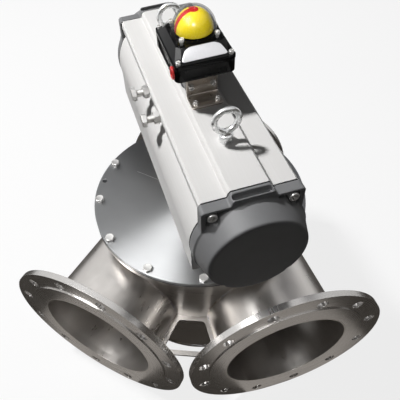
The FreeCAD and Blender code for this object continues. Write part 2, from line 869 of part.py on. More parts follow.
def piston():
    """Piston for the +X end with its rack arm on the -Y side of the pinion."""
    radius = bore_radius - piston_play
    start = piston_rest
    end = start + piston_length
    cup = round_bar(radius, start, end)
    cup = cup.cut(round_bar(radius - piston_wall, start + piston_head, end + 1))
    for low in piston_ring_starts():
        groove = round_bar(radius + 1, low, low + piston_ring_width)
        groove = groove.cut(round_bar(bore_radius - piston_ring_depth, low - 1, low + piston_ring_width + 1))
        cup = cup.cut(groove)
    far_tooth = -math.ceil((rack_travel + 1.2 * tooth_pitch) / tooth_pitch)
    teeth = rack_profile(far_tooth, 2)
    dedendum = 1.25 * gear_module
    back = dedendum + rack_back
    outline = [(teeth[0][0] - 1, -back), (teeth[0][0] - 1, -dedendum)] + teeth
    outline += [(start + 1, -dedendum), (start + 1, -back)]
    low = actuator_axis - rack_height / 2
    arm = plate([(x, y - pitch_radius) for x, y in outline], low, low + rack_height)
    return cup.fuse(arm.common(round_bar(radius, -start, end))).removeSplitter()


def piston_ring_starts():
    first = piston_rest + piston_ring_width
    last = piston_rest + piston_length - 2 * piston_ring_width
    return (first, last)


def piston_rings():
    rings = []
    for low in piston_ring_starts():
        high = low + piston_ring_width
        band = round_bar(bore_radius - running_fit, low, high)
        rings.append(band.cut(round_bar(bore_radius - piston_ring_depth, low - 1, high + 1)))
    return rings


def at_far_end(shape):
    result = shape.copy()
    result.rotate(ORIGIN, Z, 180)
    return result


def tooth_flank(start, end, steps):
    """Polar points (radius, angle) of one involute flank, with the angle zero on the pitch circle."""
    base = pitch_radius * math.cos(math.radians(pressure_angle))
    offset = involute(math.radians(pressure_angle))
    points = []
    for i in range(steps + 1):
        radius = start + (end - start) * i / steps
        angle = involute(math.acos(min(1.0, base / radius))) - offset
        points.append((radius, angle))
    return points


def involute(angle):
    return math.tan(angle) - angle


def gear_wheel(low, high):
    """Spur gear with a tooth on each of the -Y and +Y sides."""
    root = pitch_radius - 1.25 * gear_module
    base = pitch_radius * math.cos(math.radians(pressure_angle))
    tip = pitch_radius + gear_module
    half = (tooth_pitch - backlash * 2) / 4 / pitch_radius
    flank = [(root, involute(0.0) - involute(math.radians(pressure_angle)))]
    flank += tooth_flank(max(base, root) + 0.01, tip, 4)
    points = []
    for i in range(pinion_teeth):
        centre = math.radians(-90 + 360.0 * i / pinion_teeth)
        rising = [(r, centre - half + a) for r, a in flank]
        falling = [(r, centre + half - a) for r, a in reversed(flank)]
        points += [(r * math.cos(a), r * math.sin(a)) for r, a in rising + falling]
    return plate(points, low, high)


def pinion():
    gear_low = actuator_axis - gear_height / 2
    gear_high = actuator_axis + gear_height / 2
    cam_low = actuator_axis + stop_bolt_height - cam_thickness / 2
    journal = pinion_journal_diameter / 2
    stem = pinion_stem_diameter / 2
    top = pinion_top_diameter / 2
    low = actuator_base + 0.5
    points = [(0, low), (journal, low), (journal, cam_low), (stem, cam_low), (stem, pad_top),
              (top, pad_top + 1), (top, pinion_top), (0, pinion_top)]
    body = revolve_z(points).fuse(gear_wheel(gear_low, gear_high)).removeSplitter()
    half = drive_square / 2
    socket = block(-half, half, -half, half, low - 1, actuator_base + drive_depth + 2)
    body = body.cut(socket)
    slot = spindle_diameter / 5 + running_fit
    return body.cut(block(-top - 1, top + 1, -slot, slot, pinion_top - 5, pinion_top + 1))


def stop_cam():
    """Disc with two flats: each stop bolt meets one of them at an end of the turn."""
    low = actuator_axis + stop_bolt_height - cam_thickness / 2
    high = low + cam_thickness
    stem = cylinder(pinion_stem_diameter / 2 + running_fit, low - 1, high + 1)
    disc = cylinder(cam_radius, low, high).cut(stem)
    reach = 2 * cam_radius
    disc = disc.cut(block(-reach, reach, -reach, -cam_flat, low - 1, high + 1))
    return disc.cut(block(-reach, -cam_flat, -reach, reach, low - 1, high + 1))


def pinion_bushes():
    lower = tube(pinion_journal_diameter / 2 + pinion_bush_wall, pinion_journal_diameter / 2 + running_fit,
                 actuator_base + 0.5, actuator_base + actuator_floor + 2)
    upper_low = actuator_axis + stop_bolt_height + cam_thickness / 2 + 2
    upper = tube(pinion_stem_diameter / 2 + pinion_bush_wall, pinion_stem_diameter / 2 + running_fit,
                 upper_low, pad_top - 0.5)
    return [lower, upper]


def stop_bolt():
    """Adjusting bolt along Y: the tip meets the cam's flat, the head is outside the body."""
    tip = cam_flat + stop_gap
    length = stop_bolt_reach - tip
    bolt = hex_bolt(stop_bolt_size, length)
    bolt.rotate(ORIGIN, X, 90)
    return moved(bolt, 0, -stop_bolt_reach, actuator_axis + stop_bolt_height)


def stop_nut():
    """Lock nut seated against the body's side."""
    seat = shoulder_half_width
    height = 0.8 * stop_bolt_size
    nut = hexagon(1.5 * stop_bolt_size, 0, height).cut(cylinder(stop_bolt_size / 2, -1, height + 1))
    nut.rotate(ORIGIN, X, 90)
    return moved(nut, 0, -seat, actuator_axis + stop_bolt_height)


def both_stops(shape):
    return [moved(shape, side * stop_bolt_x(), 0, 0) for side in (-1, 1)]


def eye_bolt():
    """Lifting eye standing on z = 0: a collar, a tapered neck and a ring across the actuator."""
    radius = eye_ring_diameter / 2
    wire = eye_wire / 2
    centre = eye_collar_height + radius + wire
    ring = Part.makeTorus(radius, wire, Vector(0, 0, centre), X)
    collar = cylinder(eye_collar_diameter / 2, 0, eye_collar_height)
    collar = collar.makeChamfer(1.5, [top_rim(collar)])
    neck = Part.makeCone(eye_collar_diameter / 2 - 2, wire, eye_wire, Vector(0, 0, eye_collar_height - 1))
    return collar.fuse([neck, ring, cylinder(stop_bolt_size / 2, -eye_thread_length, 1)]).removeSplitter()


# Switch box, drawn with its length along X


def box_foot_screw_places():
    half = box_screw_spacing / 2
    return [(sx * half, sy * box_screw_off) for sx in (-1, 1) for sy in (-1, 1)]


def web_screw_height():
    return box_bottom - web_screw_drop


def box_bracket():
    """Angle bracket for the +X end: a foot on the pad and a web up to the box."""
    sheet = box_bracket_sheet
    foot_end = box_screw_spacing / 2 + box_foot_edge
    web = box_web()
    side = box_foot_width / 2
    outline = [(foot_end, pad_top), (foot_end, pad_top + sheet), (web + sheet, pad_top + sheet),
               (web + sheet, box_bottom), (web, box_bottom), (web, pad_top)]
    corners = [Vector(x, -side, z) for x, z in outline]
    angle = Part.Face(Part.makePolygon(corners + corners[:1])).extrude(Vector(0, box_foot_width, 0))
    for y in (-box_screw_off, box_screw_off):
        hole = cylinder(small_screw_size / 2 + bolt_clearance, pad_top - 1, pad_top + sheet + 1)
        angle = angle.cut(moved(hole, box_screw_spacing / 2, y, 0))
        bar = Part.makeCylinder(small_screw_size / 2 + bolt_clearance, 3 * sheet, Vector(web - sheet, y, 0), X)
        angle = angle.cut(moved(bar, 0, 0, web_screw_height()))
    return angle


def box_web():
    """Distance from the shaft to the inner face of a bracket's web."""
    return box_screw_spacing / 2 + box_foot_edge - box_foot_length


def box_bracket_screws():
    sheet = box_bracket_sheet
    down = socket_screw(small_screw_size, sheet + box_screw_depth)
    screws = [moved(down, x, y, pad_top + sheet) for x, y in box_foot_screw_places()]
    side = lying(socket_screw(small_screw_size, sheet + 8), 0)
    for y in (-box_screw_off, box_screw_off):
        near = moved(side, box_web() + sheet, y, web_screw_height())
        screws += [near, near.mirror(ORIGIN, X)]
    return screws


def rounded_box(length, width, low, high, corner):
    solid = block(-length / 2, length / 2, -width / 2, width / 2, low, high)
    upright = [e for e in solid.Edges if abs(e.tangentAt(e.FirstParameter).z) > 0.9]
    return solid.makeFillet(corner, upright)


def cover_screw_places():
    x = box_length / 2 - cover_screw_edge
    y = box_width / 2 - cover_screw_edge
    return [(-x, -y), (-x, y), (x, -y), (x, y)]


def dome_screw_places():
    return [(sx * dome_screw_off, sy * dome_screw_off) for sx in (-1, 1) for sy in (-1, 1)]


def switch_box_base():
    """Lower half of the box with its mounting block."""
    shell = box_shell
    base = rounded_box(box_length, box_width, box_bottom, box_split, box_corner)
    inner = (box_length - 4 * shell, box_width - 4 * shell)
    base = base.cut(rounded_box(*inner, box_bottom + shell, box_split + 1, box_corner))
    half = box_web()
    side = box_foot_width / 2
    lug = block(-half, half, -side, side, box_bottom - box_block_height, box_bottom)
    base = base.fuse(lug).removeSplitter()
    base = base.cut(cylinder(pinion_top_diameter / 2 + 2, box_bottom - box_block_height - 1, box_bottom))
    base = base.cut(cylinder(spindle_diameter / 2 + running_fit, box_bottom - 1, box_split))
    for x, y in cover_screw_places():
        boss = cylinder(small_screw_size, box_bottom + shell - 1, box_split)
        base = base.fuse(moved(boss, x, y, 0))
    base = base.removeSplitter()
    hole = cylinder(small_screw_size / 2 + running_fit, box_split - box_screw_depth, box_split + 1)
    for x, y in cover_screw_places():
        base = base.cut(moved(hole, x, y, 0))
    for y in (-box_screw_off, box_screw_off):
        bar = Part.makeCylinder(small_screw_size / 2 + running_fit, 2 * half + 2, Vector(-half - 1, y, 0), X)
        base = base.cut(moved(bar, 0, 0, web_screw_height()))
    return base


def cut_corners(half_x, half_y, cut, height):
    """Closed wire of a rectangle with its four corners cut off."""
    quarter = [(half_x, half_y - cut), (half_x - cut, half_y)]
    points = quarter + [(-x, y) for x, y in reversed(quarter)]
    points += [(-x, -y) for x, y in points]
    corners = [Vector(x, y, height) for x, y in points]
    return Part.makePolygon(corners + corners[:1])


def bonnet(margin, low, high):
    """Raised middle of the lid, from its foot up to the dome's seat, drawn in by a margin."""
    foot = cut_corners(bonnet_foot[0] - margin, bonnet_foot[1] - margin, bonnet_foot[2], low)
    crown = cut_corners(bonnet_crown[0] - margin, bonnet_crown[1] - margin, bonnet_crown[2], high)
    return Part.makeLoft([foot, crown], True, True)


def switch_box_cover():
    """Lid: a flange with four screw ears and a sloping bonnet that carries the dome."""
    shell = box_shell
    flange = rounded_box(box_length, box_width, box_split, ear_top, box_corner)
    flange = flange.makeChamfer(1.0, [e for e in flange.Edges if e.BoundBox.ZMin > ear_top - 0.01])
    lid = flange.fuse(bonnet(0, ear_top, box_top)).removeSplitter()
    well = cut_corners(bonnet_foot[0] - shell, bonnet_foot[1] - shell, bonnet_foot[2], box_split - 1)
    lid = lid.cut(Part.Face(well).extrude(Vector(0, 0, box_ear_height + 1)))
    lid = lid.cut(bonnet(shell, ear_top, box_top - shell))
    lid = lid.cut(cylinder(spindle_diameter / 2 + running_fit, box_split, box_top + 1))
    hole = cylinder(small_screw_size / 2 + bolt_clearance, box_split - 1, ear_top + 1)
    for x, y in cover_screw_places():
        lid = lid.cut(moved(hole, x, y, 0))
    thread = cylinder(small_screw_size / 2 + running_fit, box_top - shell + 1, box_top + 1)
    for x, y in dome_screw_places():
        lid = lid.cut(moved(thread, x, y, 0))
    return lid


def clear_dome():
    """Clear hood with a square foot, held by four screws."""
    outer = dome_radius
    inner = outer - dome_shell
    half = dome_flange_diameter / 2
    foot = rounded_box(2 * half, 2 * half, box_top, dome_seat, box_corner)
    ball = Part.makeSphere(outer, Vector(0, 0, dome_seat))
    ball = ball.common(cylinder(outer, dome_seat - 1, dome_seat + outer))
    hood = foot.fuse(ball).removeSplitter()
    hood = hood.cut(Part.makeSphere(inner, Vector(0, 0, dome_seat)))
    hood = hood.cut(cylinder(inner, box_top - 1, dome_seat))
    hole = cylinder(small_screw_size / 2 + bolt_clearance, box_top - 1, dome_seat + 1)
    for x, y in dome_screw_places():
        hood = hood.cut(moved(hole, x, y, 0))
    return hood


def box_screws():
    long = socket_screw(small_screw_size, box_ear_height + box_screw_depth - 2)
    short = socket_screw(small_screw_size, dome_flange_height + 2)
    screws = [moved(long, x, y, ear_top) for x, y in cover_screw_places()]
    return screws + [moved(short, x, y, dome_seat) for x, y in dome_screw_places()]


def indicator():
    """Position cap under the dome: the yellow part and the red sector, each a solid."""
    shell = Part.makeSphere(indicator_radius, Vector(0, 0, dome_seat))
    shell = shell.common(cylinder(indicator_radius, dome_seat, dome_seat + indicator_radius))
    spindle = cylinder(spindle_diameter / 2 + running_fit, dome_seat - 1, dome_seat + indicator_radius / 2)
    shell = shell.cut(spindle)
    sector = turned(wedge(30, dome_seat - 1, dome_seat + indicator_radius + 1), 180)
    return shell.cut(sector), shell.common(sector)


def spindle():
    half = spindle_diameter / 2
    low = pinion_top - 4
    top = dome_seat + indicator_radius / 2
    rod = cylinder(half, pinion_top, top)
    collar = cylinder(pinion_top_diameter / 2 - 2, pinion_top, pinion_top + 3)
    key = block(-half, half, -spindle_diameter / 5, spindle_diameter / 5, low, pinion_top + 1)
    return rod.fuse([collar, key]).removeSplitter()


def switch_cams():
    """Two eccentric trip cams clamped on the spindle."""
    cams = []
    for index, throw in enumerate((-trip_cam_throw, trip_cam_throw)):
        low = box_split - trip_cam_width - 1 + trip_cam_pitch * index
        high = low + trip_cam_width
        lobe = moved(cylinder(trip_cam_lobe / 2, low, high), throw, 0, 0)
        disc = cylinder(trip_cam_diameter / 2, low, high).fuse(lobe).removeSplitter()
        cams.append(disc.cut(cylinder(spindle_diameter / 2 + running_fit, low - 1, high + 1)))
    return cams


def microswitches():
    low = box_bottom + box_shell
    half = microswitch_length / 2
    near = microswitch_off - microswitch_width / 2
    body = block(-half, half, near, near + microswitch_width, low, low + microswitch_height)
    return [body, at_far_end(body)]


def conduit_plugs():
    """Two thin blanking plugs, one in each long side of the box."""
    half = plug_diameter / 2
    rim = Part.makeCone(half, half - plug_height / 2, plug_height)
    key = hexagon(half, plug_height / 2, plug_height + 1)
    head = rim.cut(key)
    head.rotate(ORIGIN, X, 90)
    plug = moved(head, plug_place, -box_width / 2, box_bottom + box_base_height / 2)
    return [plug, at_far_end(plug)]


def label_plate():
    """Bare plate on the slope of the lid between the dome and the near end."""
    half = label_width / 2
    start = label_margin
    end = label_margin + label_length
    points = [(start, half - label_corner), (start + label_corner, half), (end, half)]
    points += [(x, -y) for x, y in reversed(points)]
    sheet = plate(points, 0, label_thickness)
    sheet.rotate(ORIGIN, Y, math.degrees(math.atan2(bonnet_height, bonnet_run)))
    return moved(sheet, bonnet_crown[0], 0, box_top)


def build():
    os.makedirs("parts", exist_ok=True)
    save("housing_drum", housing_drum())
    save("drum_top_flange", drum_ring())
    save("drum_bottom_plate", bottom_plate())
    save("inlet_pipe", inlet_pipe())
    save("inlet_flange", at_inlet(pipe_flange()))
    save("outlet_leg_left", outlet_leg(LEFT))
    save("outlet_leg_right", outlet_leg(RIGHT))
    save("outlet_flange_left", at_outlet(pipe_flange(), LEFT))
    save("outlet_flange_right", at_outlet(pipe_flange(), RIGHT))
    save("leg_gusset", leg_gusset())
    save("cover_gasket", cover_gasket())
    save("top_cover", top_cover())
    save("cover_bolts", *cover_bolts())

    floor = drum_floor - bottom_thickness
    upper_housing = moved(bearing_housing(upper_bearing_height, False), 0, 0, cover_top)
    save("upper_bearing_housing", upper_housing)
    lower_housing = upside_down(bearing_housing(lower_bearing_height, True))
    save("lower_bearing_housing", moved(lower_housing, 0, 0, floor))
    save("bearing_bolts", *bearing_bolts())
    bush_top = cover_top + upper_bearing_height - seal_height
    lower_end = floor - lower_bearing_height + bush_wall
    save("shaft_bushes", bush(cover_seat, bush_top), bush(lower_end + 1, floor + cover_thickness))
    seal_radius = bush_radius + bush_wall
    save("shaft_seal", tube(seal_radius, shaft_radius + running_fit, bush_top, bush_top + seal_height))
    save("mounting_bracket", turned(mounting_bracket(), actuator_turn))
    save("bracket_bolts", *[turned(bolt, actuator_turn) for bolt in bracket_bolts()])

    inside = rotor_top - disc_thickness - shaft_flange_thickness
    save("rotor_upper_disc", rotor_disc(rotor_top - disc_thickness))
    save("rotor_lower_disc", rotor_disc(-rotor_top))
    save("rotor_segment", rotor_segment())
    save("segment_seal", segment_seal())
    save("rotor_deflector", deflector())
    save("upper_shaft", moved(stub_shaft(upper_shaft_top() - inside), 0, 0, inside))
    save("lower_shaft", moved(upside_down(stub_shaft(-lower_end - 2 - inside)), 0, 0, -inside))
    save("shaft_coupling", coupling())

    save_actuator("actuator_body", actuator_body())
    save_actuator("end_cap_near", end_cap())
    save_actuator("end_cap_far", end_cap().mirror(ORIGIN, X))
    save_actuator("end_cap_gaskets", cap_gasket(), cap_gasket().mirror(ORIGIN, X))
    save_actuator("end_cap_screws", *end_cap_screws())
    save_actuator("piston_near", piston())
    save_actuator("piston_far", at_far_end(piston()))
    save_actuator("piston_rings_near", *piston_rings())
    save_actuator("piston_rings_far", *[at_far_end(ring) for ring in piston_rings()])
    save_actuator("pinion", pinion())
    save_actuator("stop_cam", stop_cam())
    save_actuator("pinion_bushes", *pinion_bushes())
    save_actuator("stop_bolts", *both_stops(stop_bolt()))
    save_actuator("stop_lock_nuts", *both_stops(stop_nut()))
    save_actuator("eye_bolt_near", moved(eye_bolt(), eye_spacing / 2, 0, pad_top))
    save_actuator("eye_bolt_far", moved(eye_bolt(), -eye_spacing / 2, 0, pad_top))

    save_actuator("box_bracket_near", box_bracket())
    save_actuator("box_bracket_far", at_far_end(box_bracket()))
    save_actuator("box_bracket_screws", *box_bracket_screws())
    save_actuator("switch_box_base", switch_box_base())
    save_actuator("switch_box_cover", switch_box_cover())
    save_actuator("switch_box_screws", *box_screws())
    save_actuator("clear_dome", clear_dome())
    yellow, red = indicator()
    save_actuator("indicator_cap", yellow)
    save_actuator("indicator_sector", red)
    save_actuator("indicator_spindle", spindle())
    save_actuator("switch_cams", *switch_cams())
    save_actuator("microswitches", *microswitches())
    save_actuator("conduit_plugs", *conduit_plugs())
    save_actuator("label_plate", label_plate())


build()
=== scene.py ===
# The looks of a two-way flow diverter valve: steel housing, air actuator and switch box.
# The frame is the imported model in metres: the origin is in the inlet flange's bolting plane,
# the rotor shaft stands at SHAFT, and the actuator lies ACTUATOR_TURN round from the X axis.
# Pieces are modelled in millimetres at their own seat and then laid in place.
import bpy
import json
import math
from mathutils import Matrix, Vector

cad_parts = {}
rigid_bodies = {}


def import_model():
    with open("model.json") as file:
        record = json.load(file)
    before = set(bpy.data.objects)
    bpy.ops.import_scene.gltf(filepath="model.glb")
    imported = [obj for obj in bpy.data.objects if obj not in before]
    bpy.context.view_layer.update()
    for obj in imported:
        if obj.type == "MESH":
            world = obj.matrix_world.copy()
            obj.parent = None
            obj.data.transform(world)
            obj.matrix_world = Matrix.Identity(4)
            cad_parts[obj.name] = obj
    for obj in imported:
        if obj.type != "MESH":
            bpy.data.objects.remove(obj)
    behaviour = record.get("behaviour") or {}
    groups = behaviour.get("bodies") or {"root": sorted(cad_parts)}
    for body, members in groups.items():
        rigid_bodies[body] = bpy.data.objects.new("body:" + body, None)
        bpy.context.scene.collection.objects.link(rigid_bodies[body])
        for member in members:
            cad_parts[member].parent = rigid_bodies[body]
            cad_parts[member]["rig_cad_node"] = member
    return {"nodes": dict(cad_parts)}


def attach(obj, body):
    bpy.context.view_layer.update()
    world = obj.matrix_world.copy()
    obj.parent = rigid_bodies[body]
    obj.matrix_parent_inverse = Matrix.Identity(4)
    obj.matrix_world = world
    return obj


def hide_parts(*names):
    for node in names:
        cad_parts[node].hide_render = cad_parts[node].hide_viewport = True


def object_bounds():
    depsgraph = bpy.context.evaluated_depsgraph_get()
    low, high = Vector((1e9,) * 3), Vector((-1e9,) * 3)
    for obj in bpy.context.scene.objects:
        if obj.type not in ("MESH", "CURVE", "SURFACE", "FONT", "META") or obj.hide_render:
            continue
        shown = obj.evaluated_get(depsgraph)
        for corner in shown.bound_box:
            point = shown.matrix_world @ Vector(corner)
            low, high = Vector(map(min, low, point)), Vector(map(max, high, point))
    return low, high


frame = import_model()
cad_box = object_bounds()

MM = 0.001
SHAFT = Vector((0, -0.255, 0))
APEX = SHAFT + Vector((0, 0.204, 0))
ACTUATOR_TURN = math.radians(-67.5)
INLET_AXIS = math.radians(90)
ON_SHAFT = Matrix.Translation(SHAFT)
ON_ACTUATOR = ON_SHAFT @ Matrix.Rotation(ACTUATOR_TURN, 4, "Z")

# Pipes, in metres: the azimuth of each outlet, the way from the apex to its raised face, and
# the radius of a leg at its wide end, behind the flange
OUTLETS = (("left", -112.5), ("right", -67.5))
APEX_TO_OUTLET = 0.504
FLANGE_DEPTH = 0.014
LEG_RADIUS = 0.1265
LEG_TAPER = math.tan(math.radians(2.35))
DRUM_RADIUS = 0.198

# Heights above the pipe centres and screw places, in millimetres
COVER_TOP = 165
BEARING_TOP = 175
BEARING_FOOT = -165
BRACKET_FOOT = 173
BRACKET_ROOF = 261
ACTUATOR_AXIS = 339.5
STOP_HEIGHT = 410.5
PAD_TOP = 433.5
BOX_BRACKET_FOOT = 436.5
WEB_HOLE = 452
BOX_FLOOR = 478.5
EAR_TOP = 504
LID_TOP = 518.5
HOOD_SEAT = 522.5
LID_SCREW = (50.5, 39.5)
DOME_SCREW = 26.5
BOX_BRACKET_SCREW = 17.5
PLUG_PLACE = (43, -46, 488.5)


# Materials

STEEL_ROUNDING = 0.0008


class Value:
    """A number that changes over a surface. Sums and products of it add Math nodes."""

    def __init__(self, nodes, socket):
        self.nodes = nodes
        self.socket = socket

    def combine(self, operation, first, second):
        return self.nodes.node("ShaderNodeMath", {"operation": operation}, {0: first, 1: second})

    def __add__(self, other):
        return self.combine("ADD", self, other)

    def __radd__(self, other):
        return self.combine("ADD", other, self)

    def __mul__(self, other):
        return self.combine("MULTIPLY", self, other)

    def __rmul__(self, other):
        return self.combine("MULTIPLY", other, self)

    def __pow__(self, other):
        return self.combine("POWER", self, other)

    def __abs__(self):
        return self.combine("ABSOLUTE", self, 0.0)

    def __lt__(self, other):
        return self.combine("LESS_THAN", self, other)


class Nodes:
    """The nodes of one material or of the world."""

    def __init__(self, tree):
        self.tree = tree

    def node(self, kind, settings, sockets, output=0):
        """Any node: its settings are set first, then its sockets get values or links."""
        made = self.tree.nodes.new(kind)
        for setting, choice in settings.items():
            if setting == "stops":
                ramp = made.color_ramp
                while len(ramp.elements) < len(choice):
                    ramp.elements.new(0.5)
                for element, (position, colour) in zip(ramp.elements, choice):
                    element.position = position
                    element.color = (*colour, 1)
            else:
                setattr(made, setting, choice)
        for socket, source in sockets.items():
            if isinstance(source, Value):
                self.tree.links.new(source.socket, made.inputs[socket])
            else:
                made.inputs[socket].default_value = source
        return Value(self, made.outputs[output])

    def in_view(self):
        """1 on the way to the camera, also by a mirror or through the clear hood; else 0."""
        camera, glossy, through = (self.node("ShaderNodeLightPath", {}, {}, f"Is {ray} Ray")
                                   for ray in ("Camera", "Glossy", "Transmission"))
        return camera + glossy + through


class Finish(Nodes):
    """A material for one finish of the valve, on Object coordinates."""

    def __init__(self, name, colour, roughness, metallic=0.0, **uniform):
        self.material = bpy.data.materials.new(name)
        self.material.use_nodes = True
        super().__init__(self.material.node_tree)
        self.surface = self.tree.nodes["Principled BSDF"]
        self.surface.inputs["Base Color"].default_value = (*colour, 1)
        self.surface.inputs["Roughness"].default_value = roughness
        self.surface.inputs["Metallic"].default_value = metallic
        for socket, amount in uniform.items():
            title = socket.replace("_", " ").title().replace("Ior", "IOR")
            self.surface.inputs[title].default_value = amount

    def feed(self, socket, value):
        self.tree.links.new(value.socket, self.surface.inputs[socket])

    def place(self, centre=(0, 0, 0), turn=(0, 0, 0), scale=(1, 1, 1)):
        """Object coordinates measured from a centre, turned and then stretched."""
        spot = self.node("ShaderNodeTexCoord", {}, {}, "Object")
        cell = tuple(1 / amount for amount in scale)
        return self.node("ShaderNodeMapping", {"vector_type": "TEXTURE"},
                         {"Vector": spot, "Location": centre, "Rotation": turn, "Scale": cell})

    def axis(self, spot, name):
        return self.node("ShaderNodeSeparateXYZ", {}, {"Vector": spot}, name)

    def noise(self, spot, scale, detail=3.0, roughness=0.5):
        return self.node("ShaderNodeTexNoise", {}, {"Vector": spot, "Scale": scale, "Detail": detail,
                                                    "Roughness": roughness}, "Fac")

    def ramp(self, value, *stops):
        return self.node("ShaderNodeValToRGB", {"stops": stops}, {"Fac": value}, "Color")

    def blend(self, share, first, second):
        """A colour that goes from the first to the second as the share goes from 0 to 1."""
        return self.node("ShaderNodeMix", {"data_type": "RGBA"}, {0: share, 6: first, 7: second}, 2)

    def between(self, value, low, high):
        """A number that runs from low to high as the value runs from 0.3 to 0.7."""
        return self.node("ShaderNodeMapRange", {}, {"Value": value, "From Min": 0.3, "From Max": 0.7,
                                                    "To Min": low, "To Max": high})

    def relief(self, height, distance, strength=1.0, rounding=0.0):
        """Bump from a height, over edges that look rounded by a small radius."""
        sockets = {"Height": height, "Distance": distance, "Strength": strength}
        if rounding:
            sockets["Normal"] = self.node("ShaderNodeBevel", {"samples": 4}, {"Radius": rounding})
        self.feed("Normal", self.node("ShaderNodeBump", {}, sockets))


def brushed_steel(name, turn, grain, colour=(0.60, 0.575, 0.55), low=0.24, high=0.40):
    """Stainless steel brushed along one direction, with faint cloudy handling marks."""
    finish = Finish(name, colour, 0.3, 1.0)
    lines = finish.noise(finish.place(SHAFT, (0, 0, turn), grain), 1.0, 4.0, 0.6)
    clouds = finish.noise(finish.place(SHAFT), 9.0, 3.0, 0.55)
    darker = tuple(c * 0.86 for c in colour)
    finish.feed("Base Color", finish.ramp(clouds * 0.7 + lines * 0.3, (0.32, darker), (0.68, colour)))
    finish.feed("Roughness", finish.between(lines * 0.5 + clouds * 0.5, low, high))
    finish.relief(lines, 0.00012, 0.5, STEEL_ROUNDING)
    return finish


def turned_steel(name, centre, turn, colour=(0.60, 0.585, 0.57), low=0.20, high=0.36, anisotropic=0.0,
                 glint_line=None):
    """Steel faced on a lathe: fine rings round an axis, which lies along local Z after the turn.

    A thin near-white line may be painted on it as a painted glint, between two points in millimetres that
    are measured from the centre.
    """
    finish = Finish(name, colour, 0.3, 1.0, anisotropic=anisotropic, anisotropic_rotation=0.25)
    spot = finish.place(centre, turn)
    flat = finish.node("ShaderNodeVectorMath", {"operation": "MULTIPLY"}, {0: spot, 1: Vector((1, 1, 0))})
    radius = finish.node("ShaderNodeVectorMath", {"operation": "LENGTH"}, {0: flat}, "Value")
    rings = finish.node("ShaderNodeTexNoise", {"noise_dimensions": "1D"},
                        {"W": radius, "Scale": 900.0, "Detail": 3.0}, "Fac")
    clouds = finish.noise(finish.place(centre), 11.0, 3.0, 0.55)
    darker = tuple(c * 0.88 for c in colour)
    tone = finish.ramp(clouds * 0.6 + rings * 0.4, (0.3, darker), (0.7, colour))
    # The near-white line is a painted glint on the turned face.
    if glint_line:
        start, end = (Vector(point) * MM for point in glint_line)
        run = (end - start).xy
        along = finish.place(centre + (start + end) / 2, (0, 0, math.atan2(run.y, run.x)))
        inside = (abs(finish.axis(along, "X")) < run.length / 2) * (abs(finish.axis(along, "Y")) < 0.0005)
        tone = finish.blend(inside, tone, (0.95, 0.95, 0.95, 1))
    finish.feed("Base Color", tone)
    finish.feed("Roughness", finish.between(rings * 0.6 + clouds * 0.4, low, high))
    finish.relief(rings, 0.00008, 0.35, STEEL_ROUNDING)
    return finish


def plain_steel(name, colour, low, high, scale=160.0, metallic=1.0):
    """Small machined steel pieces: a fine even grain with slight differences of tone."""
    finish = Finish(name, colour, low, metallic)
    grain = finish.noise(finish.place(SHAFT), scale, 4.0, 0.6)
    tone = finish.noise(finish.place(SHAFT), 35.0, 2.0, 0.5)
    darker = tuple(c * 0.82 for c in colour)
    finish.feed("Base Color", finish.ramp(tone, (0.35, darker), (0.65, colour)))
    finish.feed("Roughness", finish.between(grain, low, high))
    finish.relief(grain, 0.00005, 0.4, 0.0005)
    return finish


def weld_metal(name):
    """Weld bead: close ripples across its run, with straw and blue heat tints."""
    finish = Finish(name, (0.5, 0.45, 0.4), 0.34, 1.0)
    ripples = finish.noise(finish.place(SHAFT), 420.0, 2.0, 0.5)
    tint = finish.noise(finish.place(SHAFT), 22.0, 3.0, 0.5)
    finish.feed("Base Color", finish.ramp(tint, (0.3, (0.34, 0.27, 0.20)), (0.5, (0.58, 0.54, 0.50)),
                                          (0.7, (0.36, 0.37, 0.42))))
    finish.feed("Roughness", finish.between(ripples, 0.24, 0.44))
    finish.relief(ripples, 0.0005, 0.6)
    return finish


def anodised(name):
    """Extruded aluminium, blasted and anodised a pale warm grey, with faint lines of the die."""
    colour = (0.76, 0.75, 0.74)
    darker = (0.71, 0.70, 0.685)
    finish = Finish(name, colour, 0.42, 0.0, specular_ior_level=0.03)
    lines = finish.noise(finish.place(SHAFT, (0, 0, ACTUATOR_TURN), (1.5, 420, 420)), 1.0, 3.0, 0.5)
    grain = finish.noise(finish.place(SHAFT), 1400.0, 2.0, 0.6)
    clouds = finish.noise(finish.place(SHAFT), 7.0, 3.0, 0.5)
    finish.feed("Base Color", finish.ramp(clouds * 0.6 + lines * 0.4, (0.3, darker), (0.7, colour)))
    finish.feed("Roughness", finish.between(grain * 0.5 + lines * 0.5, 0.36, 0.50))
    finish.relief(grain * 0.5 + lines * 0.5, 0.00008, 0.4, 0.001)
    return finish


def powder_coat(name):
    """Cast end caps in matt dark grey powder coat, with its fine orange peel."""
    colour = (0.17, 0.171, 0.175)
    finish = Finish(name, colour, 0.55, 0.0, specular_ior_level=0.45)
    peel = finish.noise(finish.place(SHAFT), 750.0, 2.0, 0.5)
    clouds = finish.noise(finish.place(SHAFT), 18.0, 3.0, 0.6)
    paler = tuple(c * 1.15 for c in colour)
    finish.feed("Base Color", finish.ramp(clouds, (0.3, colour), (0.7, paler)))
    finish.feed("Roughness", finish.between(peel * 0.5 + clouds * 0.5, 0.46, 0.62))
    finish.relief(peel, 0.00018, 0.5, 0.0006)
    return finish


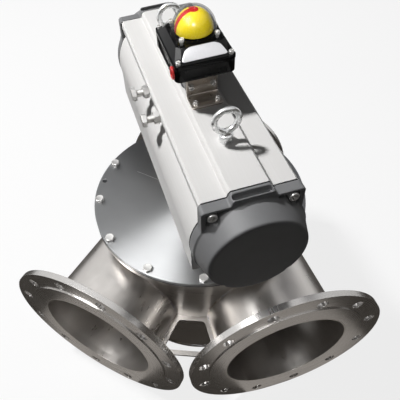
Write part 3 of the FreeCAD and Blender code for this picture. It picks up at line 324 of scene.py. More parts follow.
def moulded(name, colour, low, high, texture=0.00008, scale=500.0, **uniform):
    """Moulded plastic or rubber: even colour, fine spark texture, edges slightly worn."""
    finish = Finish(name, colour, low, 0.0, **uniform)
    grain = finish.noise(finish.place(SHAFT), scale, 3.0, 0.55)
    clouds = finish.noise(finish.place(SHAFT), 26.0, 2.0, 0.5)
    paler = tuple(min(1.0, c * 1.12 + 0.004) for c in colour)
    finish.feed("Base Color", finish.ramp(clouds, (0.3, colour), (0.7, paler)))
    finish.feed("Roughness", finish.between(grain * 0.5 + clouds * 0.5, low, high))
    finish.relief(grain, texture, 0.5, 0.0004)
    return finish


def clear_plastic(name):
    """Clear polycarbonate: seen through, with a gloss that grows towards grazing angles."""
    finish = Finish(name, (0.05, 0.05, 0.045), 0.04, 0.0, specular_ior_level=0.3)
    edge = finish.node("ShaderNodeLayerWeight", {}, {"Blend": 0.5}, "Facing")
    haze = finish.noise(finish.place(SHAFT), 60.0, 2.0, 0.5)
    finish.feed("Alpha", 0.03 + edge ** 3 * 0.95)
    finish.feed("Roughness", finish.between(haze, 0.03, 0.07))
    return finish


FINISHES = {
    "pipe": brushed_steel("satin_pipe_steel", INLET_AXIS, (40, 40, 300)),
    "drum": brushed_steel("satin_drum_steel", 0.0, (4, 4, 300)),
    # The cover carries a painted glint: a thin near-white radial line on its face.
    "cover": turned_steel("turned_cover_steel", SHAFT, (0, 0, 0), (0.40, 0.405, 0.41), 0.36, 0.44, 0.9,
                          glint_line=((-137.6, 58.3, 165), (-90.9, 37.8, 165))),
    "fastener": plain_steel("fastener_steel", (0.78, 0.77, 0.75), 0.32, 0.44, metallic=0.8),
    "shaft": plain_steel("ground_shaft_steel", (0.58, 0.58, 0.57), 0.16, 0.28),
    "sheet": plain_steel("satin_sheet_steel", (0.42, 0.38, 0.34), 0.26, 0.40, scale=90.0),
    "zinc": plain_steel("zinc_plate", (0.86, 0.87, 0.87), 0.24, 0.34, scale=220.0, metallic=0.85),
    "screw": plain_steel("bright_screw_steel", (0.88, 0.87, 0.85), 0.20, 0.30, metallic=0.55),
    "weld": weld_metal("weld_bead"),
    "anodised": anodised("anodised_aluminium"),
    "cast": plain_steel("cast_aluminium", (0.50, 0.50, 0.49), 0.42, 0.58, scale=300.0),
    "cap": powder_coat("end_cap_coat"),
    "black": moulded("switch_box_black", (0.003, 0.003, 0.0034), 0.14, 0.24, specular_ior_level=0.16),
    "clear": clear_plastic("dome_clear"),
    "yellow": moulded("indicator_yellow", (0.95, 0.72, 0.02), 0.22, 0.32, 0.00003),
    "red": moulded("indicator_red", (0.52, 0.012, 0.01), 0.22, 0.32, 0.00003),
    "plug": moulded("plug_red", (0.66, 0.02, 0.02), 0.30, 0.42),
    "inner": moulded("inner_plastic", (0.06, 0.06, 0.065), 0.35, 0.50),
    "rubber": moulded("seal_rubber", (0.022, 0.022, 0.022), 0.55, 0.72, 0.00015, 300.0),
    "label": brushed_steel("bare_label_plate", ACTUATOR_TURN, (8, 400, 400), (0.78, 0.78, 0.80), 0.26, 0.34),
}


def heading(azimuth):
    """The level direction at an azimuth in degrees."""
    reach = math.radians(azimuth)
    return Vector((math.cos(reach), math.sin(reach), 0))


def flange_finish(side, azimuth, centre):
    """Turned finish centred on a pipe flange whose axis lies at an azimuth in the XY plane."""
    return turned_steel(f"turned_{side}_flange", centre, (0, math.radians(90), math.radians(azimuth)))


FINISHES["inlet_flange"] = flange_finish("inlet", 90, Vector((0, 0, 0)))
for side, azimuth in OUTLETS:
    centre = APEX + heading(azimuth) * APEX_TO_OUTLET
    FINISHES[f"{side}_flange"] = flange_finish(side, azimuth, centre)

DRESS = {
    "pipe": ["inlet_pipe", "outlet_leg_left", "outlet_leg_right"],
    "drum": ["housing_drum", "drum_top_flange", "drum_bottom_plate", "leg_gusset"],
    "inlet_flange": ["inlet_flange"],
    "left_flange": ["outlet_flange_left"],
    "right_flange": ["outlet_flange_right"],
    "cover": ["top_cover"],
    "fastener": ["cover_bolts", "bearing_bolts", "bracket_bolts", "end_cap_screws", "stop_bolts",
                 "stop_lock_nuts", "box_bracket_screws", "switch_box_screws"],
    "shaft": ["upper_shaft", "lower_shaft", "shaft_coupling", "pinion", "stop_cam", "indicator_spindle",
              "rotor_upper_disc", "rotor_lower_disc", "rotor_segment", "rotor_deflector"],
    "sheet": ["mounting_bracket", "box_bracket_near", "box_bracket_far"],
    "cast": ["upper_bearing_housing", "lower_bearing_housing", "piston_near", "piston_far"],
    "zinc": ["eye_bolt_near", "eye_bolt_far"],
    "anodised": ["actuator_body"],
    "cap": ["end_cap_near", "end_cap_far"],
    "black": ["switch_box_base", "switch_box_cover"],
    "clear": ["clear_dome"],
    "yellow": ["indicator_cap"],
    "red": ["indicator_sector"],
    "plug": ["conduit_plugs"],
    "inner": ["microswitches", "switch_cams", "shaft_bushes", "pinion_bushes"],
    "rubber": ["cover_gasket", "shaft_seal", "end_cap_gaskets", "segment_seal", "piston_rings_near",
               "piston_rings_far"],
    "label": ["label_plate"],
}
for finish, names in DRESS.items():
    for name in names:
        for item in frame["nodes"][name].material_slots:
            item.material = FINISHES[finish].material


# Bench tools: shapes start from a primitive and are worked in edit mode. Sizes are millimetres.


def take(piece):
    """Makes one piece the only one that is selected."""
    bpy.ops.object.select_all(action="DESELECT")
    piece.select_set(True)
    bpy.context.view_layer.objects.active = piece
    return piece


def fresh(name):
    """Names the primitive that was just added and writes its place into its mesh."""
    piece = bpy.context.object
    piece.name = name
    piece.data.name = name
    bpy.ops.object.transform_apply(location=True, rotation=True, scale=True)
    return piece


def rod(name, radius, low, high, sides=48, top=None, x=0, y=0):
    """An upright cylinder, or a cone where its top has a radius of its own."""
    bpy.ops.object.select_all(action="DESELECT")
    place = (x * MM, y * MM, (low + high) / 2 * MM)
    depth = (high - low) * MM
    if top is None:
        bpy.ops.mesh.primitive_cylinder_add(vertices=sides, radius=radius * MM, depth=depth, location=place)
    else:
        bpy.ops.mesh.primitive_cone_add(vertices=sides, radius1=radius * MM, radius2=top * MM, depth=depth,
                                        location=place)
    return fresh(name)


def block(name, low, high):
    """A box between two corners."""
    bpy.ops.object.select_all(action="DESELECT")
    middle = [(a + b) / 2 * MM for a, b in zip(low, high)]
    size = [(b - a) * MM for a, b in zip(low, high)]
    bpy.ops.mesh.primitive_cube_add(size=1, location=middle, scale=size)
    return fresh(name)


def drawn(name, points):
    """A line through points, drawn by extruding one vertex. It is left in edit mode, all selected."""
    bpy.ops.object.select_all(action="DESELECT")
    bpy.ops.mesh.primitive_plane_add(size=MM, location=Vector(points[0]) * MM)
    piece = fresh(name)
    bpy.ops.object.mode_set(mode="EDIT")
    bpy.ops.mesh.select_mode(type="VERT")
    bpy.ops.mesh.select_all(action="SELECT")
    bpy.ops.mesh.merge(type="CENTER")
    for here, there in zip(points, points[1:]):
        step = (Vector(there) - Vector(here)) * MM
        bpy.ops.mesh.extrude_region_move(TRANSFORM_OT_translate={"value": step})
    bpy.ops.mesh.select_all(action="SELECT")
    return piece


def closed_up():
    """Merges doubles, turns the faces outwards and leaves edit mode."""
    bpy.ops.mesh.select_all(action="SELECT")
    bpy.ops.mesh.remove_doubles(threshold=0.002 * MM)
    bpy.ops.mesh.normals_make_consistent(inside=False)
    bpy.ops.object.mode_set(mode="OBJECT")


def lathe(name, profile, steps=64):
    """Turns a profile of (radius, height) points round the Z axis."""
    piece = drawn(name, [(radius, 0, height) for radius, height in profile])
    bpy.ops.mesh.spin(steps=steps, angle=math.tau, center=(0, 0, 0), axis=(0, 0, 1))
    closed_up()
    return piece


def cut_plate(name, outline, thickness):
    """Sheet cut to an outline of (x, y, z) points and given a thickness along a direction."""
    piece = drawn(name, outline)
    bpy.ops.mesh.edge_face_add()
    bpy.ops.mesh.extrude_region_move(TRANSFORM_OT_translate={"value": Vector(thickness) * MM})
    closed_up()
    return piece


def hull(name, points):
    """The tight skin round a set of points."""
    piece = drawn(name, points)
    bpy.ops.mesh.convex_hull()
    closed_up()
    return piece


def choose(piece, kind, test):
    """Enters edit mode with the faces or edges selected whose middle and direction pass a test."""
    take(piece)
    bpy.ops.object.mode_set(mode="EDIT")
    bpy.ops.mesh.select_mode(type=kind)
    bpy.ops.mesh.select_all(action="DESELECT")
    bpy.ops.object.mode_set(mode="OBJECT")
    corners = [corner.co / MM for corner in piece.data.vertices]
    if kind == "FACE":
        for face in piece.data.polygons:
            face.select = test(face.center / MM, face.normal)
    else:
        for edge in piece.data.edges:
            a, b = (corners[i] for i in edge.vertices)
            edge.select = test((a + b) / 2, (b - a).normalized())
    bpy.ops.object.mode_set(mode="EDIT")


def rounded_edges(piece, test, radius, segments=5):
    """Rounds the edges that pass a test."""
    choose(piece, "EDGE", test)
    bpy.ops.mesh.bevel(offset=radius * MM, segments=segments, affect="EDGES", clamp_overlap=True)
    bpy.ops.object.mode_set(mode="OBJECT")
    return piece


def worked(piece, kind, **settings):
    """Gives a piece a modifier and applies it."""
    take(piece)
    step = piece.modifiers.new(kind.lower(), kind)
    for setting, choice in settings.items():
        setattr(step, setting, choice)
    bpy.ops.object.modifier_apply(modifier=step.name)
    return piece


def carved(piece, tool, operation="DIFFERENCE"):
    """Cuts a tool out of a piece, joins it on or keeps what both share."""
    worked(piece, "BOOLEAN", object=tool, operation=operation, solver="EXACT")
    bpy.data.objects.remove(tool)
    return piece


def softened(piece, radius, segments=2, degrees=35):
    """Breaks all sharp edges of a piece by a small radius."""
    return worked(piece, "BEVEL", width=radius * MM, segments=segments, limit_method="ANGLE",
                  angle_limit=math.radians(degrees), use_clamp_overlap=True)


def joined(piece, *others):
    take(piece)
    for other in others:
        other.select_set(True)
    bpy.ops.object.join()
    return piece


def shaded(piece, degrees=32):
    take(piece)
    bpy.ops.object.shade_smooth_by_angle(angle=math.radians(degrees))
    return piece


def copied(piece, name, place):
    """A copy with its own mesh, moved to its place."""
    take(piece)
    bpy.ops.object.duplicate(linked=False)
    twin = bpy.context.object
    twin.name = name
    twin.data.name = name
    twin.data.transform(place)
    if "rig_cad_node" in twin:
        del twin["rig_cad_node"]
    return twin


def shift(x, y, z):
    return Matrix.Translation(Vector((x, y, z)) * MM)


def turn(degrees, axis):
    return Matrix.Rotation(math.radians(degrees), 4, axis)


def four_corners(x, y):
    """(x, y) of the four corners of a rectangle about the middle."""
    return [(a, b) for a in (-x, x) for b in (-y, y)]


def fitted(piece, finish, *nodes, body="housing"):
    """Dresses a piece, lets it ride on its body and takes the place of its nodes."""
    piece.data.materials.clear()
    piece.data.materials.append(FINISHES[finish].material)
    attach(piece, body)
    if nodes:
        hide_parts(*nodes)
    return piece


def set_out(pattern, name, places, finish, *nodes):
    """Copies a pattern piece to each of its places and clears the pattern away."""
    for number, place in enumerate(places, 1):
        fitted(copied(pattern, f"{name}_{number:02d}", place), finish, *nodes)
    bpy.data.objects.remove(pattern)


# Screws, bolts and nuts


def hex_blank(name, across, height, both_ends=False):
    """Hexagon bar end with its corners turned off at 30 degrees, as bolt heads and nuts have."""
    blank = rod(name, across / math.sqrt(3), 0, height, 6)
    face = across * 0.475
    corner = across * 0.6
    drop = (corner - face) * math.tan(math.radians(30))
    foot = [(0, 0), (face, 0), (corner, drop)] if both_ends else [(0, 0), (corner, 0)]
    cone = lathe("corner_cone", foot + [(corner, height - drop), (face, height), (0, height)])
    return carved(blank, cone, "INTERSECT")


def thread_profile(size, length, pitch, start):
    """(radius, height) points of a threaded shank, from its tip up to a height below the head."""
    outer = size / 2
    root = outer - 0.55 * pitch
    points = [(0, -length), (root, -length)]
    for groove in range(int((length + start) / pitch)):
        low = -length + groove * pitch
        points += [(outer, low + 0.4 * pitch), (outer, low + 0.6 * pitch), (root, low + pitch)]
    return points + [(outer, start), (outer, 0.5), (0, 0.5)]


def hex_bolt(name, size, length, pitch, start=-2.0):
    """Hexagon bolt: the seat of its head is z = 0 and the shank points down."""
    head = hex_blank(name, 1.6 * size, 0.64 * size)
    choose(head, "FACE", lambda middle, normal: normal.z > 0.99)
    bpy.ops.mesh.inset(thickness=0.12 * size * MM, depth=-0.02 * size * MM)
    bpy.ops.object.mode_set(mode="OBJECT")
    shank = lathe("shank", thread_profile(size, length, pitch, start), 32)
    return shaded(joined(head, shank))


def socket_screw(name, size, length):
    """Socket head screw with a hexagon key hole and a broken top edge."""
    rim = 0.75 * size
    profile = [(0, -length), (0.42 * size, -length), (0.5 * size, -length + 0.1 * size), (0.5 * size, 0),
               (rim, 0), (rim, 0.9 * size), (rim - 0.03 * size, 0.96 * size), (rim - 0.09 * size, size),
               (0.5 * size, size), (0.42 * size, 0.95 * size), (0, 0.95 * size)]
    screw = lathe(name, profile, 48)
    key = rod("key_hole", 0.8 * size / math.sqrt(3), 0.45 * size, 1.2 * size, 6)
    carved(screw, key)
    drill = rod("key_hole_bottom", 0.01 * size, 0.3 * size, 0.5 * size, 24, top=0.4 * size)
    return shaded(carved(screw, drill))


def bolt_circle(radius, count, first):
    """Places evenly round the Z axis, the first one at an angle."""
    return [turn(first + 360 / count * number, "Z") @ shift(radius, 0, 0) for number in range(count)]


def cover_and_bearing_bolts():
    """Bolts are tightened by hand, so the heads stand at angles of their own."""
    bolt = hex_bolt("cover_bolt", 10, 20, 1.5)
    places = [ON_SHAFT @ shift(0, 0, COVER_TOP) @ item @ turn(17 + 41 * number, "Z")
              for number, item in enumerate(bolt_circle(205.5, 12, 7.5))]
    set_out(bolt, "cover_bolt", places, "fastener", "cover_bolts")
    bolt = hex_bolt("bearing_bolt", 8, 18, 1.25)
    circle = bolt_circle(53, 4, 45)
    upper = [ON_SHAFT @ shift(0, 0, BEARING_TOP) @ item @ turn(11, "Z") for item in circle]
    lower = [ON_SHAFT @ shift(0, 0, BEARING_FOOT) @ turn(180, "X") @ item @ turn(23, "Z") for item in circle]
    set_out(bolt, "bearing_bolt", upper + lower, "fastener", "bearing_bolts")
    bolt = hex_bolt("bracket_bolt", 10, 16, 1.5)
    feet = [shift(x, y, BRACKET_FOOT) @ turn(math.copysign(15, x), "Z") for x, y in four_corners(95, 35)]
    roof = [shift(0, 0, BRACKET_ROOF) @ turn(180, "X") @ item for item in bolt_circle(51, 4, 45)]
    places = [ON_ACTUATOR @ item for item in feet + roof]
    set_out(bolt, "bracket_bolt", places, "fastener", "bracket_bolts")


def stops():
    """The two adjusting bolts of the stroke, each with its lock nut on the body's side."""
    bolt = hex_bolt("stop_bolt", 12, 70.5, 1.75, -0.3)
    nut = hex_blank("stop_lock_nut", 18, 9.6, True)
    carved(nut, rod("nut_hole", 6.1, -1, 11))
    shaded(nut)
    outward = turn(90, "X")
    heads = [ON_ACTUATOR @ shift(x, -93, STOP_HEIGHT) @ outward @ turn(20 + x, "Z") for x in (-35, 35)]
    seats = [ON_ACTUATOR @ shift(x, -71.5, STOP_HEIGHT) @ outward @ turn(x / 2, "Z") for x in (-35, 35)]
    set_out(bolt, "stop_bolt", heads, "fastener", "stop_bolts")
    set_out(nut, "stop_lock_nut", seats, "fastener", "stop_lock_nuts")


def cap_screws():
    screw = socket_screw("end_cap_screw", 10, 30)
    places = []
    for end in (0, 180):
        for y, z in ((58, 71), (-58, 71), (57, -57.5), (-57, -57.5)):
            seat = turn(end, "Z") @ shift(249, y, ACTUATOR_AXIS + z)
            places.append(ON_ACTUATOR @ seat @ turn(90, "Y") @ turn(y * 0.7, "Z"))
    set_out(screw, "end_cap_screw", places, "screw", "end_cap_screws")


def box_screws():
    long_screw = socket_screw("box_cover_screw", 5, 13)
    corners = [shift(x, y, EAR_TOP) @ turn(x + y, "Z") for x, y in four_corners(*LID_SCREW)]
    places = [ON_ACTUATOR @ item for item in corners]
    set_out(long_screw, "box_cover_screw", places, "screw", "switch_box_screws")
    short_screw = socket_screw("dome_screw", 5, 6)
    corners = [shift(x, y, HOOD_SEAT) @ turn(x - y, "Z") for x, y in four_corners(DOME_SCREW, DOME_SCREW)]
    places = [ON_ACTUATOR @ item for item in corners]
    set_out(short_screw, "dome_screw", places, "screw", "switch_box_screws")
    screw = socket_screw("box_bracket_screw", 5, 11)
    washer = lathe("spring_washer", [(2.7, 0.02), (4.6, 0.02), (4.6, 1.0), (2.7, 1.0), (2.7, 0.02)], 40)
    joined(screw, washer)
    places = []
    for end in (0, 180):
        for y in (-BOX_BRACKET_SCREW, BOX_BRACKET_SCREW):
            foot = shift(57, y, BOX_BRACKET_FOOT) @ turn(y, "Z")
            web = shift(35, y, WEB_HOLE) @ turn(90, "Y") @ turn(2 * y, "Z")
            places += [ON_ACTUATOR @ turn(end, "Z") @ item for item in (foot, web)]
    set_out(screw, "box_bracket_screw", places, "screw", "box_bracket_screws")


def eye_bolts():
    """Forged lifting eyes: ring, neck and collar run into each other."""
    bpy.ops.object.select_all(action="DESELECT")
    bpy.ops.mesh.primitive_torus_add(major_radius=18 * MM, minor_radius=4.5 * MM, major_segments=72,
                                     minor_segments=28, location=(0, 0, 34.5 * MM),
                                     rotation=(0, math.tau / 4, 0))
    eye = fresh("eye_bolt")
    stem = [(0, -17.5), (5.2, -17.5), (5.9, -16.8), (5.9, 0.02), (10.4, 0.02), (10.4, 10.6),
            (9.4, 11.8), (8.2, 12.4), (7.0, 13.6), (6.0, 15.6), (5.0, 18.0), (0, 18.0)]
    carved(eye, lathe("eye_stem", stem, 64), "UNION")
    worked(eye, "REMESH", mode="VOXEL", voxel_size=0.62 * MM)
    worked(eye, "SMOOTH", factor=0.5, iterations=5)
    take(eye)
    bpy.ops.object.shade_smooth()
    for end, x in (("near", 144.5), ("far", -144.5)):
        twin = copied(eye, f"eye_bolt_{end}_forged", ON_ACTUATOR @ shift(x, 0, PAD_TOP))
        fitted(twin, "zinc", f"eye_bolt_{end}")
    bpy.data.objects.remove(eye)


# Switch box


def upright(middle, along):
    return abs(along.z) > 0.99


def switch_box_base():
    """Moulded lower half: round corner columns, sunk side panels and the mounting block below."""
    base = block("box_base_moulding", (-57, -46, BOX_FLOOR), (57, 46, 498.4))
    rounded_edges(base, upright, 9, 7)
    for y in (-46, 46):
        carved(base, block("side_panel", (-38, y - 1.3, 481.5), (31, y + 1.3, 496.5)))
    for x in (-57, 57):
        carved(base, block("end_panel", (x - 1.3, -31, 481.5), (x + 1.3, 31, 496.5)))
    for y in (-46, 46):
        boss = rod("plug_boss", 10.2, -1.3, 0, 48)
        x = -math.copysign(PLUG_PLACE[0], y)
        boss.data.transform(shift(x, y if y > 0 else y + 1.3, PLUG_PLACE[2]) @ turn(90, "X"))
        carved(base, boss, "UNION")
    foot = block("box_foot", (-32, -25, 444.5), (32, 25, 479))
    rounded_edges(foot, upright, 3, 4)
    carved(base, foot, "UNION")
    softened(base, 0.7, 3)
    carved(base, block("box_room", (-49, -38, 482.5), (49, 38, 499)))
    carved(base, rod("shaft_hole", 18, 444, BOX_FLOOR))
    carved(base, rod("spindle_hole", 5.05, 477, 483))
    shaded(base)
    base.data.transform(ON_ACTUATOR)
    fitted(base, "black", "switch_box_base")


def cut_ring(x, y, cut, z):
    """Corners of a rectangle whose own corners are cut off, at a height."""
    quarter = [(x, y - cut), (x - cut, y)]
    half = quarter + [(-a, b) for a, b in reversed(quarter)]
    return [(a, b, z) for a, b in half + [(-a, -b) for a, b in half]]


def switch_box_lid():
    """Moulded lid: a flange, four round screw ears and a sloping bonnet with cut corners."""
    lid = block("box_lid_moulding", (-57, -46, 498.6), (57, 46, 502.6))
    rounded_edges(lid, upright, 9, 7)
    for x, y in four_corners(*LID_SCREW):
        carved(lid, rod("screw_ear", 6.4, 498.7, EAR_TOP, 40, x=x, y=y), "UNION")
    foot = cut_ring(55, 44, 8, 502) + cut_ring(55, 44, 8, 504)
    bonnet = hull("bonnet", foot + cut_ring(35.5, 36.5, 6, LID_TOP))
    for x, y in four_corners(*LID_SCREW):
        carved(bonnet, rod("screw_well", 5.6, 500, 520, 40, x=x, y=y))
    carved(lid, bonnet, "UNION")
    softened(lid, 0.8, 3, 28)
    room = cut_ring(50, 39, 16, 498) + cut_ring(50, 39, 16, 503) + cut_ring(30, 31, 9, 514)
    carved(lid, hull("bonnet_room", room))
    carved(lid, rod("spindle_hole", 5.05, 512, 520))
    shaded(lid)
    lid.data.transform(ON_ACTUATOR)
    fitted(lid, "black", "switch_box_cover")


def arc(x, y, radius, start, end, steps):
    """(x, y) points along an arc, from one angle to another."""
    angles = [math.radians(start + (end - start) * i / steps) for i in range(steps + 1)]
    return [(x + radius * math.cos(a), y + radius * math.sin(a)) for a in angles]


def bare_label():
    """Plate on the near slope: hollowed round the dome screws above, round corners below."""
    side = [(0.6, 16), (1.3, 19.5), (3.2, 24), (5.5, 27), (11, 30.2), (16.5, 32.8)]
    half = side + arc(17.9, 31, 2.6, 80, 0, 5)
    outline = half + [(x, -y) for x, y in reversed(half)]
    plate = cut_plate("bare_label_plate", [(x, y, 0.03) for x, y in outline], (0, 0, 0.7))
    shaded(softened(plate, 0.15))
    slope = math.degrees(math.atan2(14.5, 19.5))
    plate.data.transform(ON_ACTUATOR @ shift(35.5, 0, LID_TOP) @ turn(slope, "Y"))
    fitted(plate, "label", "label_plate")


def dome_and_indicator():
    """Clear hood on its square foot, and the position cap that turns under it."""
    seat = HOOD_SEAT
    hood = rod("clear_hood", 35.6, LID_TOP, seat, 96)
    for x, y in four_corners(DOME_SCREW, DOME_SCREW):
        carved(hood, rod("hood_lug", 8.6, LID_TOP, seat, 40, x=x, y=y), "UNION")
    softened(hood, 0.5)
    outer = [(r, seat + z) for r, z in arc(0, 0, 33, 0, 90, 20)]
    ball = lathe("hood_ball", [(0, seat - 2), (33, seat - 2)] + outer, 96)
    carved(hood, ball, "UNION")
    inner = [(r, seat + z) for r, z in arc(0, 0, 31, 0, 90, 20)]
    carved(hood, lathe("hood_room", [(0, 517), (31, 517)] + inner, 96))
    shaded(hood)
    hood.data.transform(ON_ACTUATOR)
    fitted(hood, "clear", "clear_dome")
    outer = [(r, seat + z) for r, z in arc(0, 0, 28.8, 2, 84, 20)]
    crown = [(2.7, seat + 28.5), (2.2, seat + 27.9), (0, seat + 27.9)]
    cap = lathe("position_cap", [(0, seat + 0.4), (28.8, seat + 0.4)] + outer + crown, 96)
    inner = [(r, seat + z) for r, z in arc(0, 0, 26, 0, 90, 16)]
    carved(cap, lathe("cap_room", [(0, seat - 1), (26, seat - 1)] + inner, 72))
    below, above, arm = seat - 2, seat + 40, 4.8
    mark = block("flow_mark", (-arm, -40, below), (arm, 0, above))
    carved(mark, block("flow_mark_across", (-40, -arm, below), (0, arm, above)), "UNION")
    carved(mark, rod("flow_mark_button", 7.2, below, above, 48), "UNION")
    red = copied(cap, "flow_mark_red", Matrix.Identity(4))
    carved(red, copied(mark, "flow_mark_share", Matrix.Identity(4)), "INTERSECT")
    carved(cap, mark)
    for piece, finish in ((cap, "yellow"), (red, "red")):
        shaded(softened(piece, 0.2), 40)
        piece.data.transform(ON_ACTUATOR)
        fitted(piece, finish, "indicator_cap", "indicator_sector", body="rotor")


def conduit_plugs():
    """Red blanking plugs with a broad rim and a square key hole."""
    plug = lathe("conduit_plug", [(0, 0.02), (9.5, 0.02), (9.5, 1.8), (8.9, 2.7), (8.2, 3.0), (0, 3.0)], 56)
    carved(plug, block("plug_key", (-4.2, -4.2, 1.2), (4.2, 4.2, 4)))
    shaded(softened(plug, 0.25))
    places = [ON_ACTUATOR @ turn(end, "Z") @ shift(*PLUG_PLACE) @ turn(90, "X") for end in (0, 180)]
    set_out(plug, "conduit_plug", places, "plug", "conduit_plugs")


def box_brackets():
    """Bent angle brackets with round corners, under each end of the switch box."""
    low, top = PAD_TOP + 0.05, BOX_BRACKET_FOOT
    steps = (0, 0.4, 0.8, 1.2, math.pi / 2)
    bend = [(35 + 2 - 2 * math.sin(a), top + 2 - 2 * math.cos(a)) for a in steps]
    under = [(32 + 5 - 5 * math.sin(a), low + 5 - 5 * math.cos(a)) for a in reversed(steps)]
    outline = [(66.5, low), (66.5, top)] + bend + [(35, BOX_FLOOR), (32, BOX_FLOOR)] + under
    angle = cut_plate("box_angle", [(x, -25, z) for x, z in outline], (0, 50, 0))
    rounded_edges(angle, lambda m, along: m.x > 66 and abs(along.z) > 0.9, 5, 5)
    rounded_edges(angle, lambda m, along: m.z > 478 and abs(along.x) > 0.9, 4, 5)
    for y in (-BOX_BRACKET_SCREW, BOX_BRACKET_SCREW):
        carved(angle, rod("foot_hole", 3, 430, 440, 32, x=57, y=y))
        hole = rod("web_hole", 3, -5, 5, 32)
        hole.data.transform(shift(33.5, y, WEB_HOLE) @ turn(90, "Y"))
        carved(angle, hole)
    shaded(softened(angle, 0.3))
    for end, degrees in (("near", 0), ("far", 180)):
        twin = copied(angle, f"box_bracket_{end}_bent", ON_ACTUATOR @ turn(degrees, "Z"))
        fitted(twin, "sheet", f"box_bracket_{end}")
    bpy.data.objects.remove(angle)


# Castings and welds


def cast_caps():
    """End caps as castings: the machined shape with the soft corners of the mould."""
    for end in ("near", "far"):
        cap = copied(frame["nodes"][f"end_cap_{end}"], f"end_cap_{end}_cast", ON_ACTUATOR.inverted())
        bpy.ops.object.mode_set(mode="EDIT")
        closed_up()
        worked(cap, "REMESH", mode="VOXEL", voxel_size=1.25 * MM)
        worked(cap, "SMOOTH", factor=0.5, iterations=4)
        take(cap)
        bpy.ops.object.shade_smooth()
        cap.data.transform(ON_ACTUATOR)
        fitted(cap, "cap", f"end_cap_{end}")


def ring_bead(name, radius, wire, place):
    """Fillet weld round a pipe or a drum."""
    bpy.ops.object.select_all(action="DESELECT")
    bpy.ops.mesh.primitive_torus_add(major_radius=radius * MM, minor_radius=wire * MM, major_segments=180,
                                     minor_segments=10)
    bead = fresh(name)
    bead.data.transform(place)
    take(bead)
    bpy.ops.object.shade_smooth()
    fitted(bead, "weld")


def outlet_place(azimuth):
    """Lays the Z axis along an outlet, with the outlet's raised face at z = 0."""
    face = APEX + heading(azimuth) * APEX_TO_OUTLET
    return Matrix.Translation(face) @ turn(azimuth, "Z") @ turn(90, "Y")


def leg_radius(distance):
    """The outer radius of a tapered leg at a distance from the apex, in metres."""
    return LEG_RADIUS - (APEX_TO_OUTLET - distance - FLANGE_DEPTH) * LEG_TAPER


def leg_on_drum(azimuth):
    """Points where an outlet leg meets the drum, going once round the leg."""
    along = heading(azimuth)
    across = Vector((-along.y, along.x, 0))
    points = []
    for i in range(72):
        angle = math.tau * i / 72
        side = across * math.cos(angle) + Vector((0, 0, 1)) * math.sin(angle)
        near, far = 0.2045, 0.5
        for _ in range(30):
            middle = (near + far) / 2
            spot = APEX + along * middle + side * leg_radius(middle)
            if (spot - SHAFT).xy.length < DRUM_RADIUS:
                near = middle
            else:
                far = middle
        points.append(spot)
    return points


def gusset_seam(azimuth):
    """The upper edge of the window plate where it meets the inner side of a leg."""
    along = heading(azimuth)
    inward = Vector((-along.y, along.x, 0))
    inward = inward if inward.x * along.x < 0 else -inward
    plate_top = Vector((0, 0, 0.0027))
    points = []
    for i in range(9):
        distance = 0.384 + 0.0105 * i
        points.append(APEX + along * distance + inward * (leg_radius(distance) + 0.0005) + plate_top)
    return points


def line_bead(name, points, wire):
    """Weld along a line of points in metres."""
    drawn(name, [point / MM for point in points])
    bpy.ops.mesh.remove_doubles(threshold=0.01 * MM)
    bpy.ops.object.mode_set(mode="OBJECT")
    bpy.ops.object.convert(target="CURVE")
    bead = bpy.context.object
    bead.data.bevel_depth = wire * MM
    bead.data.bevel_resolution = 3
    bead.data.use_fill_caps = True
    bpy.ops.object.convert(target="MESH")
    bead = bpy.context.object
    bpy.ops.object.shade_smooth()
    fitted(bead, "weld")


def welds():
    for side, azimuth in OUTLETS:
        ring_bead(f"outlet_weld_{side}", 126.6, 2.4, outlet_place(azimuth) @ shift(0, 0, -14.6))
        saddle = leg_on_drum(azimuth)
        line_bead(f"saddle_weld_{side}", saddle + saddle[:1], 1.9)
        line_bead(f"gusset_weld_{side}", gusset_seam(azimuth), 1.4)
    ring_bead("inlet_weld", 126.6, 2.4, Matrix.Translation((0, -0.0126, 0)) @ turn(90, "X"))
    ring_bead("drum_ring_weld", 198.2, 2.2, ON_SHAFT @ shift(0, 0, 144.6))
    ring_bead("drum_floor_weld", 197.9, 1.6, ON_SHAFT @ shift(0, 0, -145.0))


cover_and_bearing_bolts()
stops()
cap_screws()
box_screws()
eye_bolts()
switch_box_base()
switch_box_lid()
bare_label()
dome_and_indicator()
conduit_plugs()
box_brackets()
cast_caps()
welds()


# Studio


def lamp(name, kind, place, target, power, **settings):
    """A lamp at a place that points at a target."""
    light = bpy.data.lights.new(name, kind)
    light.energy = power
    for setting, choice in settings.items():
        setattr(light, setting, choice)
    holder = bpy.data.objects.new(name, light)
    bpy.context.scene.collection.objects.link(holder)
    holder.location = place
    holder.rotation_mode = "QUATERNION"
    holder.rotation_quaternion = (target - place).to_track_quat("-Z", "Y")
    return holder


def pale_stage(name, lift):
    """Pale paint, seen partly as plain white so that the shadow stays. It throws back little light."""
    stage = Finish(name, (0.86, 0.86, 0.86), 0.9)
    dim = stage.node("ShaderNodeBsdfDiffuse", {}, {"Color": (0.06, 0.06, 0.06, 1)})
    white = stage.node("ShaderNodeEmission", {}, {"Color": (1, 1, 1, 1), "Strength": 1.0})
    paint = Value(stage, stage.surface.outputs[0])
    seen = stage.node("ShaderNodeMixShader", {}, {0: lift, 1: paint, 2: white})
    both = stage.node("ShaderNodeMixShader", {}, {0: stage.in_view(), 1: dim, 2: seen})
    stage.tree.links.new(both.socket, stage.tree.nodes["Material Output"].inputs["Surface"])
    return stage.material


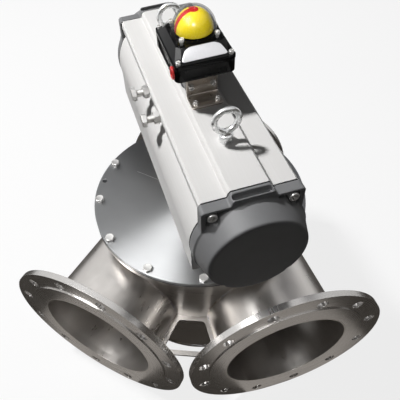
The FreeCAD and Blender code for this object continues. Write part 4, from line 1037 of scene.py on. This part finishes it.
def mirrored_only(cloth, tone):
    """Gives a card, a cloth or a window an even tone that only mirroring surfaces see."""
    even = Finish(f"{cloth.name}_cloth", (0.0, 0.0, 0.0), 1.0, specular_ior_level=0.0)
    even.surface.inputs["Emission Color"].default_value = (*tone, 1)
    even.surface.inputs["Emission Strength"].default_value = 1.0
    cloth.data.materials.append(even.material)
    cloth.visible_camera = False
    cloth.visible_diffuse = False
    cloth.visible_shadow = False
    cloth.visible_transmission = False


def level_square(name, size, place):
    bpy.ops.object.select_all(action="DESELECT")
    bpy.ops.mesh.primitive_plane_add(size=size, location=place)
    return fresh(name)


def hung_round(name, azimuths, elevations, tone, distance=3.0):
    """A cloth or a window hung round the valve, as a patch of a sphere between angles in degrees."""
    bpy.ops.object.select_all(action="DESELECT")
    bpy.ops.mesh.primitive_uv_sphere_add(segments=144, ring_count=72, radius=distance)
    cloth = fresh(name)

    def outside(centre, normal):
        spot = centre.normalized()
        elevation = math.degrees(math.asin(spot.z))
        azimuth = (math.degrees(math.atan2(spot.y, spot.x)) - azimuths[0]) % 360
        return azimuth > azimuths[1] - azimuths[0] or not elevations[0] < elevation < elevations[1]

    choose(cloth, "FACE", outside)
    bpy.ops.mesh.delete(type="FACE")
    bpy.ops.object.mode_set(mode="OBJECT")
    cloth.data.transform(Matrix.Translation(SHAFT + Vector((0, 0, 0.15))))
    mirrored_only(cloth, tone)


def room():
    """The floor, and the dark and bright fields that the steel mirrors."""
    low = cad_box[0]
    floor = level_square("studio_floor", 14, (0, 0, low.z - 0.001))
    floor.data.materials.append(pale_stage("pale_floor", 0.82))
    mirrored_only(level_square("floor_card", 3.2, (0, -0.8, low.z + 0.003)), (0.06, 0.054, 0.048))
    for side, x in (("left", -0.29), ("right", 0.29)):
        card = level_square(f"{side}_card", 0.32, (x, -0.62, low.z + 0.006))
        mirrored_only(card, (0.38, 0.355, 0.33))
    hung_round("rear_flag", (48, 120), (16, 58), (0.10, 0.10, 0.11))
    hung_round("right_flag", (-75, 34), (-4, 36), (0.07, 0.06, 0.05))
    hung_round("front_flag", (-150, -75), (-4, 70), (0.10, 0.09, 0.08))
    hung_round("left_window", (165, 240), (48, 78), (12, 12, 12), 2.9)
    hung_round("key_face", (163, 169), (54, 59), (14, 14, 14), 2.8)
    world = bpy.data.worlds.new("white_studio")
    bpy.context.scene.world = world
    world.use_nodes = True
    sky = Nodes(world.node_tree)
    strength = sky.node("ShaderNodeMapRange", {}, {"Value": sky.in_view(), "To Min": 0.045, "To Max": 1.0})
    background = world.node_tree.nodes["Background"]
    background.inputs["Color"].default_value = (1, 1, 1, 1)
    sky.tree.links.new(strength.socket, background.inputs["Strength"])


def lamps():
    """The key from behind on the left, a weak fill from the front and a snoot on the dome."""
    target = SHAFT + Vector((0, 0, 0.2))
    key = lamp("key_lamp", "AREA", target + Vector((-1.71, 0.42, 2.66)), target, 110,
               shape="RECTANGLE", size=0.3, size_y=0.3)
    key.visible_glossy = False
    dome = SHAFT + Vector((0, 0, 0.535))
    lamp("dome_snoot", "SPOT", dome + Vector((0.1, -1.5, 1.7)), dome, 135,
         spot_size=math.radians(2.4), spot_blend=0.5, shadow_soft_size=0.02)
    lamp("front_fill", "AREA", target + Vector((-0.4, -2.6, 1.6)), target, 3,
         shape="RECTANGLE", size=1.6, size_y=1.2)


def camera():
    """The photograph's viewpoint, fitted on the cover, the flanges and the actuator."""
    place = Vector((0.0681647, -0.6531066 - 0.255, 0.8989219))
    yaw, pitch, roll = -0.2019, 0.9618, 0.1079
    focal_px, centre_u, centre_v = 472.141, 173.7066, 253.6735
    frame_px = 400
    forward = Vector((math.sin(yaw) * math.cos(pitch), math.cos(yaw) * math.cos(pitch), -math.sin(pitch)))
    level = Vector((math.cos(yaw), -math.sin(yaw), 0))
    down = forward.cross(level)
    right = math.cos(roll) * level + math.sin(roll) * down
    below = -math.sin(roll) * level + math.cos(roll) * down
    data = bpy.data.cameras.new("photo_camera")
    data.lens = focal_px * data.sensor_width / frame_px
    data.shift_x = (frame_px / 2 - centre_u) / frame_px
    data.shift_y = (centre_v - frame_px / 2) / frame_px
    data.clip_start = 0.05
    data.clip_end = 50
    holder = bpy.data.objects.new("photo_camera", data)
    bpy.context.scene.collection.objects.link(holder)
    holder.rotation_mode = "QUATERNION"
    turned = Matrix((right, -below, -forward)).transposed()
    holder.rotation_quaternion = turned.to_quaternion()
    holder.location = place
    bpy.context.scene.camera = holder


room()
lamps()
camera()
bpy.context.scene.view_settings.view_transform = "Standard"
